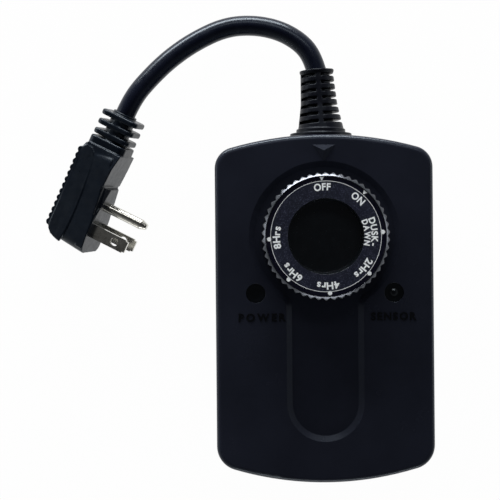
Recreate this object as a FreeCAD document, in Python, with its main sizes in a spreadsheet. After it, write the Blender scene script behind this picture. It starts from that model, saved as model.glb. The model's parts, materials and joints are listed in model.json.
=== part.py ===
import FreeCAD, Part
import math
import os
import re

import Sketcher
from FreeCAD import Placement, Rotation, Vector

# Outdoor timer lying on its back: X across the case, Y towards the cord end, Z out of the front face.
# The origin is the centre of the case's back. All sizes are in millimetres.

SIZES = {
    # Case
    "case_width": 98, "case_length": 156.5, "case_depth": 45, "case_wall": 2.6,
    "face_thickness": 4, "back_thickness": 2.8, "split_height": 22,
    "top_radius": 155, "bottom_radius": 143, "top_corner": 9.6, "bottom_corner": 11,
    "face_edge_radius": 2.4, "back_edge_radius": 1.6, "end_wall_flat": 7.2,
    # Gaps: for pieces pressed together, for loose ones and for what is trimmed clear
    "fit_gap": 0.02, "piece_gap": 0.12, "trim_gap": 0.2,
    # Face recess and pointer
    "recess_radius": 33.9, "recess_depth": 1.5, "recess_bevel": 2.6, "channel_half": 17.4,
    "channel_length": 74.6, "channel_flare": 5,
    "pointer_width": 10.7, "pointer_height": 7.8, "pointer_rise": 1.3, "pointer_from_top": 4.75,
    "pointer_peak": 2.8, "pointer_tip_width": 0.24, "pointer_sink": 0.05,
    # Selector knob and its dial label
    "knob_from_top": 46.05, "knob_radius": 28.4, "knob_height": 14, "knob_gap": 0.5, "knob_chamfer": 1.75,
    "knob_bevel": 1.75, "knob_teeth": 50, "tooth_depth": 1.05, "tooth_width": 3.18,
    "knob_rim": 1.95, "knob_plate_drop": 0.6, "knob_plate": 2.4, "knob_skirt": 2.1,
    "knob_hub_radius": 6.5, "knob_hub_lift": 0.4, "dish_radius": 16.7, "dish_taper": 0.8, "dish_depth": 8,
    "dish_wall": 1.6, "dish_floor": 2, "label_thickness": 0.3, "label_margin": 0.15,
    # Shaft, its seal and the rotary switch
    "shaft_radius": 3, "shaft_flat": 0.8, "shaft_clearance": 0.08, "knob_bore_depth": 4.6,
    "collar_radius": 7, "collar_length": 5, "seal_section": 0.85, "seal_pocket": 4.9,
    "seal_pocket_depth": 4.2, "bush_length": 2,
    "switch_side": 22, "switch_depth": 7.4, "switch_cover": 1.8, "switch_floor": 1.4,
    "rotor_radius": 8.7, "rotor_depth": 3.6, "rotor_lift": 1.2, "rotor_notch": 0.6, "notch_half": 0.96,
    "rotor_gap": 0.6, "positions": 8, "contact_plate": 0.4, "contact_radius": 1, "contact_inset": 1.7,
    "contact_ring": 1.2, "wiper_plate": 0.4, "wiper_width": 2.2, "wiper_tip": 0.36,
    "detent_leaf": 0.4, "detent_length": 13, "detent_height": 3, "detent_nose": 0.9, "detent_gap": 0.15,
    # Windows, light and photocell
    "window_side_gap": 18, "window_below_knob": 25.2, "window_radius": 4.35, "lens_set_back": 0.8,
    "lens_flange": 1.6, "lens_flange_radius": 6.2, "seal_washer": 0.8, "lead_size": 0.5, "lead_pitch": 2.54,
    "light_radius": 2.5, "light_length": 5.5, "light_rim": 0.4, "light_rim_height": 1, "light_stand": 2.4,
    "photocell_radius": 2.55, "photocell_depth": 2.2, "photocell_stand": 8.6,
    # Circuit board
    "board_side_gap": 14, "board_top_gap": 24.25, "board_low_gap": 52.25, "board_thickness": 1.6,
    "board_height": 24, "board_corner": 2, "post_inset": 4, "post_radius": 3,
    "screw_pilot": 1.2, "screw_radius": 1.5, "screw_head": 2.9, "screw_head_depth": 1.9, "screw_slot": 0.8,
    "board_screw_length": 8, "screw_hole_gap": 0.2,
    # Case screws
    "boss_side_gap": 7.6, "boss_top_gap": 17.25, "boss_low_gap": 19.25, "boss_radius": 4.2,
    "case_screw_length": 18, "screw_well_radius": 3.1, "screw_well_depth": 9, "pilot_depth": 13,
    # Gasket
    "gasket_width": 1.1, "gasket_depth": 1.4, "gasket_inset": 0.75, "gasket_break": 1,
    # Hanging slot in the back
    "hang_from_top": 38.25, "hang_head": 4.5, "hang_slot": 2.4, "hang_travel": 9, "hang_depth": 4.4,
    "hang_room": 0.6, "hang_wall": 1.8,
    # Outlets in the lower end
    "outlet_side_gap": 11.55, "outlet_web": 5.1, "outlet_z": 22, "outlet_height": 28.6, "outlet_corner": 9,
    "outlet_stand": 3, "outlet_gap": 0.15, "slab_lap": 0.35, "slab_height": 31, "slab_depth": 4,
    "slab_corner": 3, "rib_depth": 2, "rib_reach": 1.4, "blade_pitch": 12.7, "ground_drop": 11.9,
    "pattern_lift": 4, "slot_width": 2.2, "hot_slot": 7.2, "neutral_slot": 8.8, "ground_hole": 2.7,
    "base_step": 1.8, "base_room": 0.5, "base_depth": 19, "base_wall": 2.5, "base_side": 5.4,
    "screw_room": 1.5, "leaf_thickness": 0.6, "leaf_gap": 1.4, "leaf_set": 1, "leaf_height": 12,
    "leaf_shift": 2, "bus_height": 3, "bus_thickness": 0.8, "ground_bus_height": 6,
    # Cord, boot and clamp
    "cord_radius": 4.65, "boot_flange_radius": 14.3, "boot_flange": 1.9, "boot_collar_radius": 11.4,
    "boot_collar": 2, "boot_base_radius": 10.6, "boot_mid_radius": 8.5, "boot_tip_radius": 7.5,
    "boot_mid_length": 12, "boot_tip_length": 15.8, "boot_cap": 1.1, "boot_cap_rise": 0.45,
    "boot_neck_radius": 8.4, "boot_hole_gap": 0.1, "boot_lock_radius": 10.4, "boot_lock": 2.4,
    "boot_lock_gap": 0.5, "boot_seat_gap": 0.1, "boot_overlap": 0.3, "boot_slots": 7,
    "boot_slot_pitch": 3.6, "boot_slot": 1.3, "boot_slot_radius": 5.9, "boot_spine": 2.1,
    "boot_first_slot": 4.6, "boot_lean": 3.6, "tail_length": 12.5, "clamp_width": 26, "clamp_length": 9,
    "clamp_thickness": 3, "clamp_gap": 0.4, "clamp_screw_x": 9.6, "clamp_screw_length": 11,
    # Wires inside
    "wire_radius": 1.3, "wire_side_gap": 9, "wire_spread": 2.1, "wire_drop": 2.4,
    "terminal_width": 6.4, "terminal_height": 7,
    # Plug
    "plug_x": -90.9, "plug_y": 90.5, "plug_z": 19.3, "plug_yaw": -26.9, "plug_tilt": 10.5, "plug_pitch": 8,
    "plug_neck_length": 18.5, "plug_core_radius": 5.7, "fin_width": 18.5, "fin_height": 15.4,
    "fin_thickness": 2.6, "fin_pitch": 4.7, "fin_first": 1.3, "fin_corner": 3, "fin_edge": 0.8, "fins": 3,
    "plug_collar": 4.3, "collar_rise": 1.4, "plug_lap": 0.5, "plug_back": 11.7, "plug_front": 11.2,
    "plug_face_slope": 4.6, "plug_body_length": 48, "plug_back_length": 46.5, "plug_back_lift": 0.3,
    "plug_back_half": 8.8, "plug_heel": 5, "plug_front_half": 12.7, "plug_corner": 4.5,
    "bump_pitch": 3.1, "bumps": 13, "bump_radius": 1.55, "bump_first": 4.5, "bump_inset": 1,
    "face_pad_length": 30, "face_pad_half": 9.4, "face_pad_rise": 1.4, "face_pad_depth": 4,
    "plug_insert_depth": 9, "plug_insert_sink": 2.2, "plug_insert_margin": 1.2,
    "blade_width": 6.35, "blade_thickness": 1.52, "blade_length": 18.2, "blade_hole": 1.98,
    "blade_hole_reach": 11.9, "blade_root": 6, "blade_nose": 1.2, "pin_radius": 2.38, "pin_length": 21.4,
    "pin_y": 43.4, "pin_nose": 3, "pin_tip_radius": 1.4, "pin_root_radius": 1.9,
}

# Parts on the rear of the board: places from the board's middle or its end at the cord, then sizes
SIZES.update({
    "relay_x": -16, "relay_y": 0, "relay_width": 19.2, "relay_length": 15.4, "relay_height": 15.6,
    "film_x": 16, "film_from_end": 14, "film_width": 18, "film_length": 10, "film_height": 15,
    "chip_x": 14, "chip_y": 3, "chip_width": 9.8, "chip_length": 6.4, "chip_height": 3.4,
    "varistor_x": 4, "varistor_y": -14, "varistor_width": 11, "varistor_length": 4.4, "varistor_height": 11.4,
    "large_can_x": -14, "large_can_from_end": 16, "large_can_radius": 5, "large_can_height": 12.5,
    "small_can_x": -26, "small_can_from_end": 20, "small_can_radius": 4, "small_can_height": 11,
    "transistor_x": 2, "transistor_y": 4, "transistor_radius": 2.3, "transistor_height": 4.8,
    "fuse_x": 10, "fuse_y": -24, "fuse_radius": 2.6, "fuse_length": 15,
    "diode_x": -4, "diode_y": 7.4, "diode_pitch": 4, "diode_radius": 1.35, "diode_length": 5.2, "diodes": 4,
    "resistor_x": 22, "resistor_y": -8, "resistor_pitch": 3.8, "resistor_radius": 1.2,
    "resistor_length": 6.4, "resistors": 6,
})

# Sizes that follow from others
DERIVED = {
    "knob_y": "(case_length / 2 - knob_from_top)",
    "knob_rim_inner": "(knob_radius - knob_rim)",
    "pointer_top": "(case_length / 2 - pointer_from_top)",
    "window_x": "(case_width / 2 - window_side_gap)",
    "window_y": "(case_length / 2 - knob_from_top - window_below_knob)",
    "board_width": "(case_width - 2 * board_side_gap)",
    "board_length": "(case_length - board_top_gap - board_low_gap)",
    "board_y": "((board_low_gap - board_top_gap) / 2)",
    "film_y": "((case_length - board_top_gap - board_low_gap) / 2 - film_from_end)",
    "large_can_y": "((case_length - board_top_gap - board_low_gap) / 2 - large_can_from_end)",
    "small_can_y": "((case_length - board_top_gap - board_low_gap) / 2 - small_can_from_end)",
    "post_x": "(case_width / 2 - board_side_gap - post_inset)",
    "boss_x": "(case_width / 2 - boss_side_gap)",
    "boss_top_y": "(case_length / 2 - boss_top_gap)",
    "boss_low_y": "(case_length / 2 - boss_low_gap)",
    "hang_y": "(case_length / 2 - hang_from_top)",
    "outlet_width": "(case_width / 2 - outlet_side_gap - outlet_web / 2)",
    "outlet_x": "(case_width / 4 - outlet_side_gap / 2 + outlet_web / 4)",
    "slab_half": "(case_width / 2 - outlet_side_gap + slab_lap)",
    "base_half": "(case_width / 2 - outlet_side_gap + slab_lap - base_step)",
    "base_top": "(outlet_z + pattern_lift + leaf_shift + leaf_height / 2 + base_room + base_wall)",
    "base_foot": "(outlet_z + pattern_lift - ground_drop - ground_hole - leaf_thickness - base_room"
                 " - base_wall)",
}

doc = FreeCAD.newDocument("OutdoorTimer")
sheet = doc.addObject("Spreadsheet::Sheet", "Sizes")
nodes = []

for row, (alias, size) in enumerate(SIZES.items(), start=1):
    sheet.set(f"A{row}", alias)
    sheet.set(f"B{row}", str(size))
    sheet.setAlias(f"B{row}", alias)
doc.recompute()


# Expressions over the sheet

def formula(text):
    """The expression with derived sizes written out and the sheet's name put before each size."""
    text = re.sub(r"[a-z][a-z_]*", lambda m: DERIVED.get(m[0], m[0]), str(text))
    return re.sub(r"[a-z][a-z_]*", lambda m: "Sizes." + m[0] if m[0] in SIZES else m[0], text)


def value(text):
    """The number that an expression over the sheet works out to."""
    return float(sheet.evalExpression(formula(text)))


def bind(item, cells):
    """Bind properties of an object to expressions."""
    for name, text in cells.items():
        item.setExpression(name, formula(text))


def seat(item, corner):
    """Bind the place of an object to three expressions."""
    bind(item, dict(zip(("Placement.Base.x", "Placement.Base.y", "Placement.Base.z"), corner)))
    return item


def keep(item, label):
    """Name a finished sub-part and list it for export."""
    item.Label = label
    nodes.append(item)
    return item


# Primitives and booleans

TURN = {"x": Rotation(Vector(0, 1, 0), 90), "y": Rotation(Vector(1, 0, 0), -90), "z": Rotation()}


def box(corner, size):
    item = doc.addObject("Part::Box", "Block")
    bind(item, dict(zip(("Length", "Width", "Height"), size)))
    return seat(item, corner)


def block(centre, size):
    """Box given by the middle of its lower face."""
    corner = (f"({centre[0]}) - ({size[0]}) / 2", f"({centre[1]}) - ({size[1]}) / 2", centre[2])
    return box(corner, size)


def cylinder(base, radius, length, axis="z"):
    item = doc.addObject("Part::Cylinder", "Rod")
    item.Placement = Placement(Vector(), TURN[axis])
    bind(item, {"Radius": radius, "Height": length})
    return seat(item, base)


def cone(base, radius, end_radius, length, axis="z"):
    item = doc.addObject("Part::Cone", "Taper")
    item.Placement = Placement(Vector(), TURN[axis])
    bind(item, {"Radius1": radius, "Radius2": end_radius, "Height": length})
    return seat(item, base)


def ball(centre, radius):
    item = doc.addObject("Part::Sphere", "Ball")
    bind(item, {"Radius": radius})
    return seat(item, centre)


def hoop(centre, radius, section):
    item = doc.addObject("Part::Torus", "Hoop")
    bind(item, {"Radius1": radius, "Radius2": section})
    return seat(item, centre)


def cut(base, *tools):
    item = doc.addObject("Part::Cut", "Cut")
    item.Base = base
    item.Tool = tools[0] if len(tools) == 1 else fuse(*tools)
    return item


def fuse(*shapes):
    item = doc.addObject("Part::MultiFuse", "Fusion")
    item.Shapes = list(shapes)
    return item


def group(*shapes):
    """Separate solids of one kind, kept as one sub-part."""
    item = doc.addObject("Part::Compound", "Group")
    item.Links = list(shapes)
    return item


def ring(base, radius, bore, length, axis="z"):
    return cut(cylinder(base, radius, length, axis), cylinder(base, bore, length, axis))


# Sketches and body features

# Height difference below which an edge counts as level
LEVEL_SLACK = 1e-4


def new_body(name):
    return doc.addObject("PartDesign::Body", name)


def new_sketch(body, plane, offset, loops):
    """Sketch on an origin plane, moved along its normal, with closed loops of bound points.

    A loop is a circle (x, y, radius), or a list of corners (x, y) or (x, y, arc radius). The arc leads from
    its corner to the next one; a negative radius turns clockwise.
    """
    sketch = body.newObject("Sketcher::SketchObject", body.Name + "Sketch")
    support = next(f for f in body.Origin.OriginFeatures if f.Role == plane + "_Plane")
    sketch.AttachmentSupport = [(support, "")]
    sketch.MapMode = "FlatFace"
    bind(sketch, {".AttachmentOffset.Base.z": offset})
    for loop in loops:
        if isinstance(loop, tuple):
            add_circle(sketch, loop)
        else:
            add_loop(sketch, loop)
    return sketch


def add_circle(sketch, circle):
    x, y, radius = circle
    shape = Part.Circle(Vector(value(x), value(y), 0), Vector(0, 0, 1), value(radius))
    edge = sketch.addGeometry(shape, False)
    pin_point(sketch, edge, 3, x, y)
    index = sketch.addConstraint(Sketcher.Constraint("Radius", edge, value(radius)))
    sketch.setExpression(f"Constraints[{index}]", formula(radius))


def pin_point(sketch, edge, end, x, y):
    for kind, text in (("DistanceX", x), ("DistanceY", y)):
        index = sketch.addConstraint(Sketcher.Constraint(kind, -1, 1, edge, end, value(text)))
        sketch.setExpression(f"Constraints[{index}]", formula(text))


def add_loop(sketch, corners):
    points = [Vector(value(c[0]), value(c[1]), 0) for c in corners]
    ends = []
    for here, corner in enumerate(corners):
        start = points[here]
        stop = points[(here + 1) % len(points)]
        if len(corner) == 2:
            edge = sketch.addGeometry(Part.LineSegment(start, stop), False)
            ends.append((edge, 1, 2))
            continue
        radius = value(corner[2])
        edge = sketch.addGeometry(Part.Arc(start, bulge(start, stop, radius), stop), False)
        ends.append((edge, 1, 2) if radius > 0 else (edge, 2, 1))
        index = sketch.addConstraint(Sketcher.Constraint("Radius", edge, abs(radius)))
        sketch.setExpression(f"Constraints[{index}]", formula(f"abs({corner[2]})"))
    for here, (edge, first, last) in enumerate(ends):
        after, its_first, _ = ends[(here + 1) % len(ends)]
        sketch.addConstraint(Sketcher.Constraint("Coincident", edge, last, after, its_first))
        pin_point(sketch, edge, first, corners[here][0], corners[here][1])


def bulge(start, stop, radius):
    """Middle point of the minor arc from start to stop."""
    chord = stop - start
    half = chord.Length / 2
    rise = abs(radius) - math.sqrt(max(radius ** 2 - half ** 2, 0))
    side = Vector(chord.y, -chord.x, 0).normalize()
    return (start + stop) / 2 + side * (rise if radius > 0 else -rise)


def rectangle(centre_x, centre_y, width, height, corner=None):
    """Loop of a rectangle, with round corners where a corner radius is given."""
    x, y, w, t = f"({centre_x})", f"({centre_y})", f"({width}) / 2", f"({height}) / 2"
    if corner is None:
        return [(f"{x} - {w}", f"{y} - {t}"), (f"{x} + {w}", f"{y} - {t}"),
                (f"{x} + {w}", f"{y} + {t}"), (f"{x} - {w}", f"{y} + {t}")]
    c = f"({corner})"
    return [(f"{x} - {w} + {c}", f"{y} - {t}"), (f"{x} + {w} - {c}", f"{y} - {t}", c),
            (f"{x} + {w}", f"{y} - {t} + {c}"), (f"{x} + {w}", f"{y} + {t} - {c}", c),
            (f"{x} + {w} - {c}", f"{y} + {t}"), (f"{x} - {w} + {c}", f"{y} + {t}", c),
            (f"{x} - {w}", f"{y} + {t} - {c}"), (f"{x} - {w}", f"{y} - {t} + {c}", c)]


def pad(body, sketch, length, backwards=False, both_ways=False):
    feature = body.newObject("PartDesign::Pad", body.Name + "Pad")
    feature.Profile = sketch
    feature.Reversed = backwards
    feature.Midplane = both_ways
    bind(feature, {"Length": length})
    doc.recompute()
    return feature


def pocket(body, sketch, length, backwards=False, both_ways=False, taper=None):
    """Pocket below a sketch, or above it where backwards is set; one that cuts nothing is an error."""
    before = body.Shape.Volume
    feature = body.newObject("PartDesign::Pocket", body.Name + "Pocket")
    feature.Profile = sketch
    feature.Reversed = backwards
    feature.Midplane = both_ways
    bind(feature, {"Length": length})
    if taper:
        bind(feature, {"TaperAngle": taper})
    doc.recompute()
    if not body.Shape.Volume < before - 0.01:
        raise RuntimeError(f"{feature.Name} cuts nothing")
    return feature


def revolution(body, sketch):
    feature = body.newObject("PartDesign::Revolution", body.Name + "Revolution")
    feature.Profile = sketch
    feature.ReferenceAxis = (sketch, ["V_Axis"])
    doc.recompute()
    return feature


def round_edges(body, feature, radius, wanted):
    """Fillet of the feature's edges that the test picks."""
    names = [f"Edge{n}" for n, edge in enumerate(feature.Shape.Edges, start=1) if wanted(edge)]
    fillet = body.newObject("PartDesign::Fillet", body.Name + "Fillet")
    fillet.Base = (feature, names)
    bind(fillet, {"Radius": radius})
    doc.recompute()
    return fillet


def at_height(height):
    """Test for edges that lie wholly at a height."""
    level = value(height)

    def test(edge):
        return max(abs(edge.BoundBox.ZMin - level), abs(edge.BoundBox.ZMax - level)) < LEVEL_SLACK
    return test


# Wires and cords: straight runs joined by tangent arcs

BEND_SHARE = 0.45


def tube(points, radius):
    """Solid tube along points, its volume and its bend radii."""
    edges = []
    bends = []
    last = points[0]
    for before, here, after in zip(points, points[1:], points[2:]):
        leaving = (before - here).normalize()
        going = (after - here).normalize()
        half_turn = (math.pi - leaving.getAngle(going)) / 2
        reach = BEND_SHARE * min(before.distanceToPoint(here), here.distanceToPoint(after))
        bends.append(reach / math.tan(half_turn))
        start = here + leaving * reach
        stop = here + going * reach
        centre = here + (leaving + going).normalize() * (reach / math.sin(half_turn))
        middle = centre + (here - centre).normalize() * bends[-1]
        edges.append(Part.LineSegment(last, start).toShape())
        edges.append(Part.Arc(start, middle, stop).toShape())
        last = stop
    edges.append(Part.LineSegment(last, points[-1]).toShape())
    path = Part.Wire(edges)
    ahead = points[1] - points[0]
    section = Part.Wire(Part.Circle(points[0], ahead, radius).toShape())
    shell = path.makePipeShell([section], True, True)
    return shell, path.Length, bends


def tube_part(label, points, radius):
    """Sub-part for a cord or wire, with its length and tightest bend printed."""
    shape, length, bends = tube([Vector(*p) for p in points], radius)
    item = doc.addObject("Part::Feature", "Tube")
    item.Shape = shape
    share = shape.Volume / (math.pi * radius ** 2 * length)
    print(f"{label}: length {length:.1f}, volume share {share:.4f}, radii",
          " ".join(f"{bend:.1f}" for bend in bends))
    return keep(item, label)


# Heights and places that several pieces share

INNER_FACE = "(case_depth - face_thickness)"
BOARD_TOP = "(board_height + board_thickness)"
RECESS_FLOOR = "(case_depth - recess_depth)"
KNOB_BASE = "(case_depth - recess_depth + knob_gap)"
LENS_TOP = "(case_depth - lens_set_back)"
FLANGE_TOP = "(case_depth - face_thickness - seal_washer)"
END_WALL = "(case_length / 2 - end_wall_flat)"
SLAB_BACK = "(case_length / 2 - end_wall_flat - slab_depth)"
BASE_BACK = "(case_length / 2 - end_wall_flat - slab_depth - base_depth)"
CLAMP_Y = "(case_length / 2 - case_wall - boot_lock - boot_lock_gap - clamp_length / 2 - 2 * clamp_gap)"
BOSSES = [(f"{side} boss_x", end) for side in ("-", "") for end in ("boss_top_y", "-boss_low_y")]
POSTS = [(f"{side} post_x", f"board_y {end} (board_length / 2 - post_inset)")
         for side in ("-", "") for end in ("-", "+")]


def case_outline(inset, flat_end=False):
    """Outline of the case, drawn in by an inset; a flat end is the straight wall behind the outlets."""
    inset = f"({inset})"
    half = f"(case_width / 2 - {inset})"

    def shoulder(end):
        corner = f"({end}_corner - {inset})"
        arc = f"({end}_radius - {inset})"
        x = f"({half} - {corner})"
        rise = f"sqrt(({arc} - {corner})^2 - {x}^2)"
        side_y = f"(case_length / 2 - {end}_radius + {rise})"
        arc_x = f"({x} * {arc} / ({arc} - {corner}))"
        arc_y = f"(case_length / 2 - {end}_radius + {rise} * {arc} / ({arc} - {corner}))"
        return corner, arc, side_y, arc_x, arc_y

    corner, arc, side_y, arc_x, arc_y = shoulder("top")
    top = [(half, side_y, corner), (arc_x, arc_y, arc), (f"-{arc_x}", arc_y, corner), (f"-{half}", side_y)]
    corner, arc, side_y, arc_x, arc_y = shoulder("bottom")
    if flat_end:
        inner = f"({half} - {corner})"
        low = [(f"-{half}", f"-({END_WALL} - {corner})", corner), (f"-{inner}", f"-{END_WALL}"),
               (inner, f"-{END_WALL}", corner), (half, f"-({END_WALL} - {corner})")]
    else:
        low = [(f"-{half}", f"-{side_y}", corner), (f"-{arc_x}", f"-{arc_y}", arc),
               (arc_x, f"-{arc_y}", corner), (half, f"-{side_y}")]
    return top + low


def recess_outline(inset):
    """Outline of the keyhole-shaped recess: a circle round the knob run into a channel below it."""
    inset = f"({inset})"
    r = f"(recess_radius - {inset})"
    w = f"(channel_half - {inset})"
    f = f"(channel_flare + {inset})"
    drop = f"sqrt(({r} + {f})^2 - ({w} + {f})^2)"
    foot_y = f"(knob_y - {drop})"
    join_x = f"(({w} + {f}) * {r} / ({r} + {f}))"
    join_y = f"(knob_y - {drop} * {r} / ({r} + {f}))"
    end_y = "(knob_y - channel_length)"
    return [(join_x, join_y, r), (r, "knob_y", r), ("0", f"knob_y + {r}", r), (f"-{r}", "knob_y", r),
            (f"-{join_x}", join_y, f"-{f}"), (f"-{w}", foot_y), (f"-{w}", end_y, w),
            ("0", f"{end_y} - {w}", w), (w, end_y), (w, foot_y, f"-{f}")]


# Case

def boss_circles(radius):
    return [(x, y, radius) for x, y in BOSSES]


def front_shell():
    body = new_body("FrontShell")
    blank = pad(body, new_sketch(body, "XY", "split_height", [case_outline("0")]),
                "case_depth - split_height")
    round_edges(body, blank, "face_edge_radius", at_height("case_depth"))
    inside = [case_outline("case_wall", True), ("0", "knob_y", "collar_radius")]
    inside += boss_circles("boss_radius")
    inside += [(x, y, "post_radius") for x, y in POSTS]
    pocket(body, new_sketch(body, "XY", "split_height", inside), f"{INNER_FACE} - split_height", True)
    posts = [(x, y, "post_radius + trim_gap") for x, y in POSTS]
    pocket(body, new_sketch(body, "XY", "split_height", posts), f"{BOARD_TOP} - split_height", True)
    pocket(body, new_sketch(body, "XY", "split_height", [("0", "knob_y", "collar_radius + trim_gap")]),
           f"{INNER_FACE} - collar_length - split_height", True)
    add_ribs(body, INNER_FACE, "split_height", True)
    pilots = [(x, y, "screw_pilot") for x, y in BOSSES]
    pocket(body, new_sketch(body, "XY", "split_height", pilots), "pilot_depth", True)
    pilots = [(x, y, "screw_pilot") for x, y in POSTS]
    pocket(body, new_sketch(body, "XY", BOARD_TOP, pilots), "board_screw_length", True)
    pocket(body, new_sketch(body, "XY", f"{INNER_FACE} - collar_length", [("0", "knob_y", "seal_pocket")]),
           "seal_pocket_depth", True)
    add_recess(body)
    holes = [("0", "knob_y", "shaft_radius + shaft_clearance")]
    holes += [(f"{side} window_x", "window_y", "window_radius") for side in ("-", "")]
    pocket(body, new_sketch(body, "XY", "case_depth", holes), "case_depth - split_height")
    open_ends(body)
    add_pointer(body)
    keep(body, "front_shell")


def add_ribs(body, start, stop, down):
    """Ribs that hold the outlet slab against the end wall, one each side."""
    reach = "(case_width / 2 - case_wall + trim_gap - slab_half + rib_reach)"
    ribs = [rectangle(f"{side} (slab_half - rib_reach + {reach} / 2)", f"rib_depth / 2 - {SLAB_BACK}",
                      reach, "rib_depth") for side in ("-", "")]
    pad(body, new_sketch(body, "XY", start, ribs), f"{start} - {stop}" if down else f"{stop} - {start}", down)


def add_recess(body):
    """Shallow recess of the face, its edge sloped all round."""
    rim = new_sketch(body, "XY", "case_depth", [recess_outline("0")])
    floor = new_sketch(body, "XY", RECESS_FLOOR, [recess_outline("recess_bevel")])
    before = body.Shape.Volume
    loft = body.newObject("PartDesign::SubtractiveLoft", "Recess")
    loft.Profile = rim
    loft.Sections = [floor]
    loft.Ruled = True
    doc.recompute()
    if not body.Shape.Volume < before - 1:
        raise RuntimeError("The recess cuts nothing")


def open_ends(body):
    """Openings for the cord boot in the upper end and for the two outlets in the lower end."""
    hole = ("0", "split_height", "boot_neck_radius + boot_hole_gap")
    pocket(body, new_sketch(body, "XZ", "-(case_length / 2 - 2 * case_wall)", [hole]), "3 * case_wall")
    openings = [rectangle(f"{side} outlet_x", "outlet_z", "outlet_width + 2 * outlet_gap",
                          "outlet_height + 2 * outlet_gap", "outlet_corner") for side in ("-", "")]
    pocket(body, new_sketch(body, "XZ", f"{END_WALL} - case_wall / 2", openings),
           "end_wall_flat + case_wall", True)


def add_pointer(body):
    """Raised three-sided pointer above the knob, its peak near the flat side."""
    half = "pointer_width / 2"
    foot = new_sketch(body, "XY", "case_depth - pointer_sink", [[
        (f"-{half}", "pointer_top"), ("0", "pointer_top - pointer_height"), (half, "pointer_top")]])
    tip = "pointer_tip_width / 2"
    peak = new_sketch(body, "XY", "case_depth + pointer_rise", [[
        (f"-{tip}", f"pointer_top - pointer_peak + {tip}"), ("0", f"pointer_top - pointer_peak - {tip}"),
        (tip, f"pointer_top - pointer_peak + {tip}")]])
    loft = body.newObject("PartDesign::AdditiveLoft", "Pointer")
    loft.Profile = foot
    loft.Sections = [peak]
    loft.Ruled = True
    doc.recompute()


def back_cover():
    body = new_body("BackCover")
    blank = pad(body, new_sketch(body, "XY", "0", [case_outline("0")]), "split_height")
    round_edges(body, blank, "back_edge_radius", at_height("0"))
    hang = slot_housing("hang_head + hang_room + hang_wall")
    inside = [case_outline("case_wall", True), hang] + boss_circles("boss_radius")
    pocket(body, new_sketch(body, "XY", "split_height", inside), "split_height - back_thickness")
    over = slot_housing("hang_head + hang_room + hang_wall + trim_gap")
    pocket(body, new_sketch(body, "XY", "split_height", [over]),
           "split_height - back_thickness - hang_depth - hang_wall")
    add_ribs(body, "back_thickness", "split_height", False)
    pocket(body, new_sketch(body, "XY", "0", boss_circles("screw_well_radius")), "screw_well_depth", True)
    shanks = boss_circles("screw_radius + screw_hole_gap")
    pocket(body, new_sketch(body, "XY", "0", shanks), "split_height", True)
    add_hanging_slot(body)
    groove = [case_outline("gasket_inset"), case_outline("gasket_inset + gasket_width")]
    pocket(body, new_sketch(body, "XY", "split_height", groove), "gasket_depth")
    open_ends(body)
    keep(body, "back_cover")


def slot_housing(half):
    """Rectangle round the hanging slot, as far from its ends as from its sides."""
    return rectangle("0", "hang_y + hang_travel / 2", f"2 * ({half})", f"2 * ({half}) + hang_travel")


def add_hanging_slot(body):
    """Keyhole for a wall screw: a round entry and a narrow way up from it, with a wider pocket behind."""
    end = "hang_y + hang_travel"
    pocket(body, new_sketch(body, "XY", "0", [("0", "hang_y", "hang_head")]), "back_thickness", True)
    way = [("-hang_slot", "hang_y"), ("hang_slot", "hang_y"), ("hang_slot", end, "hang_slot"),
           ("0", f"{end} + hang_slot", "hang_slot"), ("-hang_slot", end)]
    pocket(body, new_sketch(body, "XY", "0", [way]), "back_thickness", True)
    half = "(hang_head + hang_room)"
    wide = [(f"-{half}", "hang_y", half), ("0", f"hang_y - {half}", half), (half, "hang_y"),
            (half, end, half), ("0", f"{end} + {half}", half), (f"-{half}", end)]
    pocket(body, new_sketch(body, "XY", "back_thickness", [wide]), "hang_depth", True)


def case_gasket():
    body = new_body("CaseGasket")
    run = [case_outline("gasket_inset + fit_gap"), case_outline("gasket_inset + gasket_width - fit_gap")]
    pad(body, new_sketch(body, "XY", "split_height - gasket_depth", run), "gasket_depth")
    boot = block(("0", "case_length / 2", "0"),
                 ("2 * boot_neck_radius + gasket_break", "2 * end_wall_flat", "case_depth"))
    outlets = block(("0", "-case_length / 2", "0"),
                    ("2 * outlet_x + outlet_width + gasket_break", "2 * end_wall_flat", "case_depth"))
    keep(cut(body, boot, outlets), "case_gasket")


def screw(x, y, top, length, up=True):
    """Pan-head screw along Z; its head lies below the level top, or above it when the screw points down."""
    shank_z = top if up else f"{top} - {length}"
    head_z = f"{top} - screw_head_depth" if up else top
    slot_z = f"{head_z} - fit_gap" if up else f"{head_z} + screw_head_depth - screw_slot + fit_gap"
    shank = cylinder((x, y, shank_z), "screw_pilot - fit_gap", length)
    head = cylinder((x, y, head_z), "screw_head", "screw_head_depth")
    slot = block((x, y, slot_z), ("screw_slot", "3 * screw_head", "screw_slot"))
    return cut(fuse(shank, head), slot)


def case_screws():
    screws = [screw(x, y, "screw_well_depth", "case_screw_length") for x, y in BOSSES]
    keep(group(*screws), "case_screws")


# Selector knob, shaft and rotary switch

def on_knob_axis(height):
    return ("0", "knob_y", height)


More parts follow.
